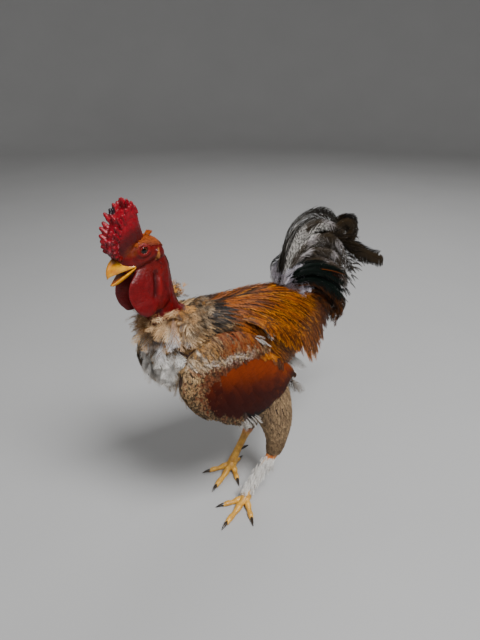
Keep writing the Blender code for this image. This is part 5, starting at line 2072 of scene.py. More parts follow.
        # Painted light and shade: the mahogany is lighter rust toward the top and darker toward the bottom,
        # as the bulge turns from the light.
        shield = layered(
            blend("#883c06", "#441403", ramp(0.026 - n, 0.0, 0.05) + tone),
            ("mahogany", ramp(-n, 0.018, 0.05) * 0.85),
            ("streak", ramp(np.sin(b.share * 40 + b.out * 4), 0.7, 1.0) * 0.14),
            ("soot", ramp(s, 0.168, 0.192) * 0.85),
            ("gold", gold * 0.45),
        )
        fringe = blend("maroon", "soot", 0.35 + tone + 0.5 * ramp(s, 0.1, 0.16))
        order = b.owner[:, None]
        colour = np.where(order < self.primaries + self.fringe, fringe, shield)
        return np.where(order < self.primaries, blend("soot", "maroon", 0.15 + tone), colour)

    def covert_tones(self, b: Batch, rng: Chance) -> Array:
        """Colours the coverts: spotted bow, cream bar, speckled rim with painted shade toward its lower edge,
        rust patch with painted violet glints, dark rear corner, and painted shade on the far wing's wrist.

        Args:
            b: The woven feathers.
            rng: The seeded source of chance.

        Returns:
            A colour for each vertex.
        """
        tone = b.own(rng, 0.22)
        s, n = self.local(b.each(b.points[:, 4]))
        spot = ramp(rough(b.places, 0.0014, 3.0), -0.02, 0.18)
        blot = ramp(rough(b.places, 0.0026, 5.0), 0.02, 0.18)
        wave = rough(b.places, 0.006, 9.0)
        dash = fade(np.abs(b.out), 0.2, 0.6) * ramp(b.share, 0.35, 0.5) * fade(b.share, 0.75, 0.95)
        dash = np.maximum(dash * (b.lot(rng) > 0.4), spot * 0.45)
        dark = dye("umber") * 0.6
        near = fade(self.rim(s, n) + 0.5 * tone, 1.0, 1.22)
        rim = layered(
            blend("cream", blend("tan", "umber", 0.25), 0.35 + tone),
            ("soot", np.maximum(dash, blot) * 0.9),
            # Painted shade: darker toward the wing's lower edge.
            (dark, ramp(-n, 0.014, 0.044) * (0.5 + tone)),
            (blend("#6a2c08", "soot", 0.25 + tone + 0.3 * blot), near * 0.85),
        )
        patch = ramp(s, 0.03, 0.046)
        bow = layered(
            blend("tan", "cream", 0.15 + tone),
            (dark, np.maximum(blot, dash) * 0.9),
            (blend("rust", "streak", 0.45 + tone), patch * (0.55 + 0.45 * blot)),
            # Painted glints: violet along the top of the rust patch, on some feathers only.
            ("violet", ramp(n, 0.058, 0.066) * patch * (tone > 0.0) * 0.8),
        )
        bars = ramp(np.sin(self.local(b.places)[1] * 2200 + wave * 6), 0.0, 0.7)
        pale = blend("frost", "cream", 0.55 + tone + 0.5 * wave)
        bar = blend(pale, "umber", np.maximum(bars * 0.75, blot * 0.8))
        above = n + 0.004 * wave - (0.046 - 0.2 * (0.09 - s))
        top = ramp(s, 0.098, 0.116) * ramp(n, 0.026, 0.034)
        return layered(
            rim,
            (bar, ramp(above, -0.016, -0.008) * fade(s, 0.08, 0.1) * 0.7),
            (bow, ramp(above, -0.002, 0.005)),
            (blend("flame", "rust", 0.5 + tone), top * fade(n, 0.036, 0.042) * 0.9),
            (blend("green", "soot", 0.6 + tone), top * ramp(n, 0.038, 0.044) * ramp(s, 0.125, 0.14)),
            (
                blend("gold", "streak", 0.35 + tone),
                ramp(s, 0.064, 0.08) * ramp(n, 0.052, 0.06) * fade(s, 0.125, 0.14),
            ),
            (blend("green", "soot", 0.5 + tone), ramp(s, 0.15, 0.165) * ramp(n, -0.005, 0.01)),
            (
                blend("soot", "gold", ramp(np.abs(b.out), 0.4, 0.9) * 0.6),
                ramp(s, 0.16, 0.18) * ramp(-n, -0.012, 0.006),
            ),
            # Painted shade: only the far right wing's wrist is darkened, though both wings are the same
            # feathers mirrored.
            (dye("umber") * 0.5, (b.places[:, 0] < 0) * fade(s, 0.02, 0.045) * (0.6 + 0.4 * spot)),
        )

    def build(self) -> list[Piece]:
        """Dresses both wings alike.

        Returns:
            Quills and coverts of each wing.
        """
        quills, coverts = self.quills(), self.coverts()
        large, small = Weave(34, 1.2, 0.12, 0.05, 0.1, 0.0001), Weave(7, 0.95, 0.24, 0.25, 0.15, shaft=0.0)
        out = []
        for side in Side:
            for kind, batch, weave, tones, finish, seeds in (
                ("quills", quills, large, self.quill_tones, "shield", (3, 12)),
                ("coverts", coverts, small, self.covert_tones, "matt", (4, 13)),
            ):
                batch = mirrored(batch) if side is Side.RIGHT else batch
                chances = [seeded(seed) for seed in seeds]
                out.append(self.woven(f"wing {kind}_{side.word}", batch, weave, tones, finish, *chances))
        return out


@dataclass
class ThighCoat(Coat):
    """Stippled feathers that end above the bare, reddish hock."""

    lengths: Span = (0.01, 0.015)
    halves: Span = (0.0024, 0.0034)

    def build(self, side: Side) -> Piece:
        """Lays the feathers down one thigh.

        Args:
            side: Which thigh.

        Returns:
            The coat piece.
        """
        form = self.body.thighs[side]
        shares = scatter(36, 34, (0.0, 0.0), (1.0, 0.86), self.rng)
        sizes = self.draw(self.lengths, len(shares)) * (1 - 0.35 * shares[:, 1])
        halves = self.draw(self.halves, len(shares)) * (1 - 0.4 * shares[:, 1])
        batch = self.laid(form.tree, form, shares, sizes, halves, (-0.0005, 0.0022), (0.5, 0.4, 0.6), 5)
        name, weave = "thigh feathers_" + side.word, Weave(7, 1.1, 0.2, 0.25, 0.35)
        return self.woven(name, batch, weave, self.tones, "matt", seeded(15))

    def tones(self, b: Batch, rng: Chance) -> Array:
        """Colours the thigh: ash and tan stippled with umber, darker above the hock.

        Args:
            b: The woven feathers.
            rng: The seeded source of chance.

        Returns:
            A colour for each vertex.
        """
        speck = ramp(rough(b.places, 0.0009, 1.0), -0.1, 0.3)
        pale = blend(blend("ash", "tan", 0.35), "cream", 0.3 + 0.7 * b.own(rng, 0.25))
        return layered(pale, ("umber", speck * 0.6), ("umber", fade(b.root[:, 2], 0.088, 0.11) * 0.4))


@dataclass
class TailFan(Coat):
    """The frayed tail: sickles, fan feathers, green coverts and white fluff at its root.

    Each course gives a look, the half width, the spread to the side at the tip and the path as y and z.

    Attributes:
        courses: The long feathers.
        quills: The dark closed vanes behind them.
        bands: The coverts over the root.
        edge: The line along which thin ends stand out behind.
        spikes: How many thin ends there are.
        steps: Points along each path.
    """

    courses: Courses = mm((
        ("sickle", 6.2, 6, (
            (74, 330), (80, 366), (93, 404), (113, 420), (138, 426),
            (163, 421), (180, 410), (183, 401), (172, 398),
        )),
        ("sickle", 5.2, 12, ((78, 332), (88, 372), (106, 400), (132, 411), (160, 406), (176, 397))),
        ("zebra", 8.5, 4, ((76, 332), (84, 362), (98, 392), (118, 408))),
        ("zebra", 8, 10, ((78, 330), (92, 364), (112, 390), (140, 402), (160, 396))),
        ("lilac", 8, 10, ((84, 334), (104, 368), (136, 387), (172, 382), (200, 362), (214, 338))),
        ("lilac", 8, 15, ((84, 332), (108, 362), (146, 373), (188, 357), (212, 332), (218, 316))),
        ("dusk", 8, 18, ((86, 330), (114, 354), (156, 356), (192, 338), (212, 316), (206, 300))),
        ("dusk", 8, 20, ((90, 330), (122, 346), (156, 344), (182, 327), (192, 308))),
    ))
    quills: Courses = mm((
        ("dark", 8.6, 4, (
            (100, 338), (130, 366), (166, 376), (196, 392), (220, 396), (235, 386), (233, 374), (222, 368),
        )),
        ("dark", 10.8, 8, (
            (105, 334), (150, 366), (190, 372), (236, 351), (272, 329), (298, 317), (314, 312),
        )),
        ("dark", 6.6, 2, ((130, 350), (166, 370), (196, 382), (216, 385), (228, 380))),
        ("dark", 4, 2, ((170, 296), (200, 282), (217, 268), (226, 252), (221, 240), (208, 238))),
    ))
    bands: Courses = mm((
        ("green", 6.2, 20, ((81, 339), (98, 349), (125, 350), (157, 339), (182, 323))),
        ("green", 5.8, 22, ((88, 330), (110, 336), (137, 330), (162, 316), (180, 300))),
        ("thread", 0.6, 24, ((108, 342), (130, 343), (152, 334), (172, 321))),
        ("gilt", 5.8, 22, ((96, 322), (122, 324), (150, 310), (170, 293), (180, 276))),
        ("gilt", 6, 20, ((104, 312), (134, 308), (160, 291), (177, 268), (178, 252))),
        ("gilt", 5.6, 12, ((135, 300), (162, 291), (187, 275), (197, 257), (186, 244))),
    ))
    edge: Rows = mm(((176, 384), (204, 368), (215, 340), (203, 310), (188, 280)))
    spikes: int = 240
    steps: int = 17

    def plumes(self, rows: Courses, copies: int, stray: float) -> Batch:
        """Feathers along courses in the midplane, each kept to one side and copied with a little stray.

        Args:
            rows: The courses.
            copies: Feathers for each course and side; sickles and barred ones are fewer.
            stray: How far the copies turn about their roots, in radians.

        Returns:
            The feathers, marked with the look of each.
        """
        points, normals, halves, looks, unwrap = [], [], [], [], []
        f = np.linspace(0, 1, self.steps)
        for index, (look, half, spread, course) in enumerate(rows):
            loose, upright = look in ("lilac", "dusk"), look in ("sickle", "zebra")
            count = {"sickle": 2, "zebra": 3}.get(look, copies)
            shortest = 0.93 if look in ("sickle", "dark") else 0.78
            for side, copy in product(Side, range(count)):
                plane = through(course, self.steps)
                turn = self.rng.normal(0, stray * (2.6 if loose else 1.0))
                rel = (plane - plane[0]) * (self.rng.uniform(shortest, 0.99) if copy else 1.0)
                c, s = math.cos(turn), math.sin(turn)
                rel = beside(rel[:, 0] * c - rel[:, 1] * s, rel[:, 0] * s + rel[:, 1] * c)
                wave = np.sin(f[:, None] * self.draw((4, 9), 2) + self.draw((0, 6), 2)) * f[:, None]
                wave = wave * (0.0045 if loose else 0.0008)
                plane = plane[0] + rel + wave + self.rng.normal(0, 0.0016, 2)
                bulge = (0.016 if spread > 0.018 else 0.006) * np.sqrt(f)
                x = side.value * (0.003 + 0.002 * copy + bulge + (spread - 0.012) * f)
                if upright:
                    x = x * 0.5 + side.value * 0.006 * (look == "zebra")
                    plane = plane + np.array((0.007, -0.006))
                points.append(np.column_stack([x, plane]))
                lean = vec(side.value, self.rng.normal(0, 0.12), 0.25 + self.rng.normal(0, 0.18))
                normals.append(np.tile(unit(lean), (self.steps, 1)))
                halves.append(half * (self.rng.uniform(0.75, 1.0) if copy else 1.0))
                looks.append(look)
                place = 0.06 + 0.88 * index / len(rows) + self.rng.uniform(-0.02, 0.02)
                unwrap.append((place, 0.5 + 0.4 * side.value * (copy + 0.5) / copies))
        widths = profile(self.steps, np.array(halves), 0.55, 0.45, 0.62)
        marks = {"look": np.array(looks)}
        return Batch(np.array(points), np.array(normals), widths, np.array(unwrap), marks)

    def tones(self, b: Batch, rng: Chance) -> Array:
        """Colours each look: barred, frayed grey, dusky, dark ridged, glossy green, gilt-edged.

        Args:
            b: The woven feathers, marked with their looks.
            rng: The seeded source of chance.

        Returns:
            A colour for each vertex.
        """
        tone = b.own(rng, 0.16)
        inner = ramp(b.out * np.sign(b.root[:, 0]), 0.02, 0.35) * ramp(b.share, 0.1, 0.22)
        inner = inner * fade(b.share, 0.36, 0.5)
        zebra = ramp(np.sin(b.share * 58 + np.abs(b.out) * 5), -0.1, 0.3)
        barb = ramp(rough(b.places, 0.0014, 2.0), 0.02, 0.3)
        plume = ramp(np.sin(b.share * 15 + b.lot(rng, 6.3)), 0.2, 0.8)
        clump = ramp(rough(b.places, 0.006, 6.0), 0.1, 0.4)
        ridge = np.sin(b.share * 130 + rough(b.places, 0.008, 3.0) * 6)
        ridge = ramp(ridge, 0.0, 0.6) * ramp(b.share, 0.55, 0.7)
        gilt = ramp(np.abs(b.out), 0.55, 0.9) * (b.lot(rng) > 0.5)
        gilt = np.maximum(gilt * 0.22, 0.3 * ramp(rough(b.places, 0.0022, 8.0), 0.0, 0.3))
        black = dye("#17130f")
        pale = np.clip(plume * (0.2 + 2.0 * tone) + 0.13 * clump, 0, 1) * (1 - 0.7 * barb)
        dusty = np.clip(plume * (0.05 + 2 * tone), 0, 1) + 0.1 * barb
        white = barb * 0.06 + inner * (0.3 + 0.45 * zebra)
        styles = {
            "sickle": (blend(black, "olive", 0.3 + tone), "frost", white),
            "zebra": (black, "frost", (1 - 0.9 * zebra) * 0.85),
            "lilac": (blend("#241c12", "#4c4234", 0.35 + 2.0 * tone), "#dcd6d8", pale),
            "dusk": (blend(black, "#3e3020", 0.35 + 2.0 * tone), "#b8b0ac", dusty),
            "dark": (black, "#42341f", 0.3 + tone + 0.16 * ridge),
            "green": (black * 0.4, "green", 0.4 + tone + 0.2 * barb),
            "gilt": (blend(black * 0.6, "umber", 0.3 + tone + 0.4 * barb), "gold", gilt),
            "thread": ("streak", "gold", 0.2 + tone),
        }
        colour = np.zeros((len(b.places), 3))
        looks = b.each(b.marks["look"])
        for look, mix in styles.items():
            colour = np.where((looks == look)[:, None], blend(*mix), colour)
        return colour

    def fan(self) -> Piece:
        """The long feathers, frayed and drooping.

        Returns:
            The coat piece.
        """
        batch = self.plumes(self.courses, 5, 0.05)
        weave = Weave(72, 0.95, 0.1, 0.36, 0.18, 0.0016, 0.0007, 0.3)
        return self.woven("tail feathers", batch, weave, self.tones, "tail", seeded(21))

    def stiff(self) -> Piece:
        """The dark closed vanes that curl out behind the fan, each as wide as a strap to near its end.

        Returns:
            The coat piece.
        """
        batch, f = self.plumes(self.quills, 2, 0.025), np.linspace(0, 1, self.steps)
        strap = np.interp(f, (0, 0.3, 0.85, 0.96, 1), (0.5, 0.8, 1.0, 0.85, 0.55))
        batch.widths = batch.widths.max(axis=1, keepdims=True) * strap
        weave = Weave(84, 1.3, 0.06, 0.2, 0.2, 0.0006, 0.0008, 0.1)
        return self.woven("tail quills", batch, weave, self.tones, "tail", seeded(27))

    def ends(self) -> Batch:
        """Thin dark ends that stand out along the fan's rear edge, between its long feathers.

        Returns:
            The feathers.
        """
        count = self.spikes
        edge = through(self.edge, count)
        side = np.where(np.arange(count) % 2, 1.0, -1.0)
        out = side * self.draw((0.002, 0.026), count)
        roots = np.column_stack([out, edge + self.rng.normal(0, 0.004, (count, 2))])
        fall = np.linspace(0.35, -1.1, count) + self.rng.normal(0, 0.25, count)
        way = unit(beside(side * 0.15, np.full(count, 0.9), fall))
        long = self.draw((0.009, 0.02), count)
        normals = unit(beside(side, np.zeros(count), np.full(count, 0.3)))
        widths = profile(self.steps, self.draw((0.001, 0.0022), count), 0.8, 0.1, 0.3)
        unwrap = beside(0.5 + 0.4 * side, np.linspace(0.1, 0.9, count))
        batch = locks(roots, way, long, normals, widths, unwrap, 0.004 / long)
        batch.marks["look"] = np.full(count, "dark")
        return batch

    def coverts(self) -> Piece:
        """Green-black and gilt coverts over the fan's root and the rump, with the thin ends behind.

        Returns:
            The coat piece.
        """
        batch = joined([self.plumes(self.bands, 9, 0.07), self.ends()])
        weave = Weave(34, 0.9, 0.12, 0.3, 0.25, 0.0006, 0.0006, 0.25)
        return self.woven("tail coverts", batch, weave, self.tones, "shield", seeded(22))

    def fluff(self) -> Piece:
        """White and grey down under the tail, round its root and along its front hem.

        Returns:
            The coat piece.
        """
        under = strewn(160, (0.54, 0.82), (0.96, 0.995), self.rng)
        round_root = strewn(240, (0.0, 0.02), (1.0, 0.45), self.rng)
        hem = strewn(260, (-1.0, 0.0), (1.0, 1.0), self.rng)
        out = np.sign(hem[:, 0]) * (0.007 + 0.01 * np.abs(hem[:, 0]))
        roots = np.concatenate([
            self.body.trunk.at(*under.T),
            self.body.tail_form().at(*round_root.T),
            beside(out, 0.077 + 0.022 * hem[:, 1], 0.33 + 0.004 * hem[:, 1]),
        ])
        count = len(roots)
        upper = np.arange(count) >= len(under)
        hemmed = np.arange(count) >= count - len(hem)
        high = upper[:, None]
        away = unit(roots - np.where(high, vec(0, 0.108, 0.324), vec(0, 0.105, 0.288)))
        way = unit(away * vec(0.6, 0.5, 0.5) + np.where(high, vec(0, 0.3, 0.55), vec(0, 0.65, -0.12)))
        back = self.rng.normal(0.36, 0.14, len(hem))
        way[hemmed] = unit(beside(np.sign(roots[hemmed, 0]) * 0.1, back, np.full(len(hem), 0.9)))
        size = self.draw((0.014, 0.024), count) * np.where(upper & ~hemmed, 0.7, 1.0)
        normals = unit(away + self.rng.normal(0, 0.4, (count, 3)))
        widths = profile(6, self.draw((0.006, 0.01), count) * np.where(hemmed, 0.42, 1.0), 0.6, 0.35, 0.5)
        unwrap = np.concatenate([under, round_root, np.abs(hem)]) % 1.0
        batch = locks(roots, way, size * np.where(hemmed, 1.35, 1.0), normals, widths, unwrap, 0.3)
        batch.marks["under"] = ~upper * 1.0
        weave = Weave(20, 0.3, 0.4, 0.5, -0.25, 0.0014, 0.0003, 0.15)
        return self.woven("tail fluff", batch, weave, self.fluff_tones, "down", seeded(23))

    def fluff_tones(self, b: Batch, rng: Chance) -> Array:
        """Pale down, greyer under the tail and at its roots."""
        pale = blend("#d8d4e0", "ash", 0.2 + b.own(rng, 0.35) + 0.6 * b.each(b.marks["under"]))
        return blend(pale, "umber", (1 - b.share) * 0.35)


@dataclass
class Ruff(Coat):
    """The tuft of soft locks at the foot of the naked neck."""

    count: int = 640
    lengths: Span = (0.016, 0.025)
    halves: Span = (0.0052, 0.0085)

    def ring(self, share: Array) -> Array:
        """Points of the ruff's half ring.

        Args:
            share: From the right shoulder, -1, to the left one, 1, and a little round behind.

        Returns:
            The points.
        """
        angle = share * math.pi / 2
        lift = 0.024 * np.abs(np.sin(angle)) ** 1.6 + 0.008 * ramp(np.abs(share), 0.9, 1.6)
        return beside(np.sin(angle) * 0.032, -0.122 + 0.03 * (1 - np.cos(angle)), 0.32 + lift)

    def build(self) -> Piece:
        """Curled down of two lengths, standing out above and hanging below.

        Returns:
            The coat piece.
        """
        count = self.count
        share = self.rng.uniform(-1.45, 1.45, count)
        roots = self.ring(share) + self.rng.normal(0, 0.0042, (count, 3)) * vec(1, 1, 1.3)
        outward = unit(beside(roots[:, 0] * 1.3, roots[:, 1] + 0.094, np.zeros(count)))
        level = self.rng.uniform(-0.75, 1.15, count)
        way = unit(outward + vec(0, 0, 1) * level[:, None] + self.rng.normal(0, 0.14, (count, 3)))
        size = self.draw(self.lengths, count) * (1.0 - 0.45 * ramp(np.abs(share), 0.85, 1.15))
        normals = unit(vec(0, 0, 1) + outward * 0.5 + self.rng.normal(0, 0.35, (count, 3)))
        unwrap = beside(np.clip(0.5 + 0.42 * share, 0, 1), 0.5 + level * 0.3)
        widths = profile(7, self.draw(self.halves, count), 0.5, 0.35, 0.55)
        batch = locks(roots, way, size, normals, widths, unwrap, 0.45)
        batch.marks = {"share": share, "level": level, "straw": self.rng.uniform(0, 1, count)}
        weave = Weave(11, 0.55, 0.5, 0.5, -0.3, 0.0014, 0.0004, 0.15)
        return self.woven("ruff down", batch, weave, self.tones, "down", seeded(24))

    def tones(self, b: Batch, rng: Chance) -> Array:
        """Colours the ruff: cream to brown, straw behind, painted brown shade in a hollow, ashen below.

        Args:
            b: The woven locks, marked with their places on the ring and their rise.
            rng: The seeded source of chance.

        Returns:
            A colour for each vertex.
        """
        tone = b.own(rng, 0.3)
        share, level = b.each(b.marks["share"]), b.each(b.marks["level"])
        low = ramp(-level, 0.25, 0.6)
        front = fade(np.abs(share - 0.1), 0.45, 0.75)
        straw = ramp(share * np.sign(b.root[:, 0]), 0.55, 0.8) * ramp(level, 0.2, 0.5)
        straw = straw * (b.each(b.marks["straw"]) > 0.5)
        hollow = fade(np.hypot(b.places[:, 0] - 0.018, b.places[:, 2] - 0.318), 0.007, 0.015)
        shoulder = ramp(share, 0.74, 0.98)
        return layered(
            blend("#6a4424", blend("#dcc09a", "#9c7040", 0.4 + 1.2 * tone), 0.25 + ramp(b.share, 0.1, 0.6)),
            ("#c88a34", straw * 0.8),
            # Painted shade: a dark brown patch in a hollow of the ruff.
            ("#3c2412", hollow * 0.85),
            (blend("ash", "umber", 0.45 + tone), shoulder * 0.6),
            ("soot", shoulder * ramp(rough(b.places, 0.004, 4.0), 0.0, 0.25) * 0.8),
            ("#d4d8e0", low * front * 0.72),
            ("ash", low * (1 - front) * 0.6),
        )


@dataclass
class LooseDown(Coat):
    """Tufts of down that break through the coat: on the breast, back and thighs, and down the shank.

    Attributes:
        tufts: Middle, spread, way, length, count and half width of each tuft.
        sock: Top and foot of the line of white down on the left shank.
        socks: How many strands it has.
    """

    tufts: Sequence[tuple] = (
        ((-0.024, -0.126, 0.286), (0.016, 0.004, 0.017), (0, 0.5, -0.8), (0.012, 0.019), 170, 0.005),
        ((-0.03, 0.07, 0.196), (0.012, 0.016, 0.01), (0, 0.5, -0.8), (0.018, 0.03), 40, 0.005),
        ((0.024, -0.126, 0.286), (0.016, 0.004, 0.017), (0, 0.5, -0.8), (0.012, 0.019), 170, 0.005),
        ((0.03, 0.07, 0.196), (0.012, 0.016, 0.01), (0, 0.5, -0.8), (0.018, 0.03), 40, 0.005),
        ((0.055, -0.026, 0.174), (0.004, 0.006, 0.003), (0, 0.5, -0.6), (0.008, 0.013), 44, 0.0018),
        ((0.066, 0.002, 0.305), (0.003, 0.008, 0.004), (0.5, 1.0, -1.0), (0.012, 0.018), 34, 0.0018),
    )
    sock: Rows = ((0.041, 0.034, 0.064), (0.037, -0.01, 0.022))
    socks: int = 520

    def tuft(
        self, centre: Sequence[float], spread: Sequence[float], way: Sequence[float], size: Span,
        count: int, half: float,
    ) -> Batch:
        """One loose tuft about a place, its down laid roughly one way.

        Args:
            centre: Its middle.
            spread: How far its roots stray along each axis.
            way: The direction of its down, before it stands out from the coat.
            size: Shortest and longest.
            count: Strands.
            half: Least half width.

        Returns:
            The strands.
        """
        roots = np.array(centre) + self.rng.normal(0, 1, (count, 3)) * np.array(spread)
        hits = [self.body.cover.find_nearest(Vector(p)) for p in roots]
        roots, out = (np.array([hit[k] for hit in hits]) for k in (0, 1))
        ways = unit(np.array(way) + 0.55 * out + self.rng.normal(0, 0.22, (count, 3)))
        long = self.draw(size, count)
        normals = unit(out + self.rng.normal(0, 0.3, (count, 3)))
        unwrap = np.clip(beside(0.5 + roots[:, 1] * 2, roots[:, 2] * 2.2), 0, 1)
        widths = profile(6, self.draw((half, 1.6 * half), count), 0.6, 0.3, 0.5)
        return locks(roots, ways, long, normals, widths, unwrap, 0.25)

    def shank_down(self) -> Batch:
        """The white down that clings to the outer side of the left shank.

        Returns:
            The strands.
        """
        count, (top, foot) = self.socks, np.array(self.sock)
        drop = np.linspace(0, 1, count)
        line = top * (1 - drop[:, None]) + foot * drop[:, None]
        roots = line + self.rng.normal(0, 1, (count, 3)) * vec(0.0035, 0.003, 0.001)
        ways = unit(vec(0.05, -0.45, -1) + self.rng.normal(0, 0.12, (count, 3)))
        long = self.draw((0.007, 0.012), count)
        faces = np.tile(vec(0.9, -0.3, 0.3), (count, 1))
        widths = profile(6, np.full(count, 0.0024), 0.6, 0.3, 0.5)
        return locks(roots, ways, long, faces, widths, beside(drop, np.full(count, 0.2)), 0.0)

    def build(self) -> Piece:
        """All loose tufts as one piece.

        Returns:
            The coat piece.
        """
        batch = joined([*(self.tuft(*tuft) for tuft in self.tufts), self.shank_down()])
        weave = Weave(12, 0.62, 0.5, 0.4, -0.25, 0.0009, 0.0005, 0.12)
        return self.woven("loose down", batch, weave, self.tones, "down", seeded(25))

    def tones(self, b: Batch, rng: Chance) -> Array:
        """Colours the tufts: white, but barred cream at the sides and foot of the breast.

        Args:
            b: The woven strands.
            rng: The seeded source of chance.

        Returns:
            A colour for each vertex.
        """
        tone, root = b.own(rng, 0.25), b.root
        shank = fade(root[:, 2], 0.075, 0.085)
        breast = ramp(-root[:, 1], 0.08, 0.1)
        barred = blend(blend("ash", "cream", 0.8 + tone), "umber", ramp(np.sin(b.share * 22), 0.0, 0.5) * 0.4)
        side = ramp(np.abs(root[:, 0] - 0.005), 0.028, 0.038)
        low = ramp(-root[:, 2], -0.27, -0.256)
        return layered(
            blend("#e2dfda", "ash", (0.15 + tone) * (1 - 0.7 * shank) + 0.5 * (root[:, 0] > 0.05)),
            (barred, breast * np.clip(low + side, 0, 1)),
            ("umber", (1 - b.share) * 0.25 * (1 - shank) * (1 - 0.6 * breast)),
        )


@dataclass
class HeadHair(Coat):
    """Hair-like feathers on the crown and nape, and sparse bristles down the bare neck.

    Attributes:
        head: The head that they grow on.
        patches: Count, lowest and highest share and lengths on crown, nape and neck.
        half: Half width of a hair.
    """

    head: BareHead = field(default_factory=BareHead)
    patches: Sequence[tuple] = (
        (1500, (-1.0, 0.42), (1.0, 0.97), (0.0022, 0.0044)),
        (420, (CREST - 0.085, 0.02), (CREST + 0.085, 0.6), (0.006, 0.01)),
        (90, (0.0, 0.05), (1.0, 0.92), (0.0015, 0.003)),
    )
    half: float = 0.0006

    def way(self, place: Array, normal: Array) -> Array:
        """Back over the crown and down the nape."""
        return vec(0, 0.9, -0.75) if place[2] > 0.415 else vec(0, 0.15, -1)

    def build(self) -> Piece:
        """Lays the hair in three densities, with a little tuft that stands up behind the comb.

        Returns:
            The coat piece.
        """
        skull, neck = self.head.head_form(), self.head.neck_form()
        crown, nape, sparse = (strewn(*patch[:3], self.rng) for patch in self.patches)
        crown[:, 0] = CREST + 0.17 * np.sign(crown[:, 0]) * np.abs(crown[:, 0]) ** 1.5
        roots = np.concatenate([skull.at(*crown.T), neck.at(*nape.T), neck.at(*sparse.T)])
        sizes = np.concatenate([self.draw(patch[3], patch[0]) for patch in self.patches])
        points, normals = march(hull((skull, neck)), roots, self.way, sizes, (-0.0002, 0.0008), 4)
        f = np.linspace(0, 1, 4)[None, :, None]
        stand = np.flatnonzero(np.linalg.norm(roots - vec(0.003, -0.128, 0.44), axis=1) < 0.0045)
        points[stand] += f**1.3 * vec(0, 0.0022, 0.005)
        points += self.rng.normal(0, 0.0003, (len(roots), 1, 3)) * f
        widths = profile(4, np.full(len(roots), self.half), 0.7, 0.2, 0.5)
        batch = Batch(points, normals, widths, np.concatenate([crown, nape, sparse]) % 1.0)
        weave = Weave(3, 1.3, 0.5, 0.3, 0.2, 0.0002, 0.00035)
        return self.woven("head hair", batch, weave, self.tones, "matt", seeded(26))

    def tones(self, b: Batch, rng: Chance) -> Array:
        """Colours the hair: orange crown, redder toward the face, olive nape, red bristles.

        Args:
            b: The woven hairs.
            rng: The seeded source of chance.

        Returns:
            A colour for each vertex.
        """
        return layered(
            blend("#b05a12", "#7a3c10", 0.35 + b.own(rng, 0.16)),
            ("#4a3c20", ramp(b.root[:, 1], -0.122, -0.112) * 0.8),
            ("#6e2412", 0.7 * ramp(b.each(np.abs(b.unwrap[:, 0] - CREST)), 0.09, 0.17)),
            ("#5a1610", b.owner >= self.patches[0][0] + self.patches[1][0]),
        )


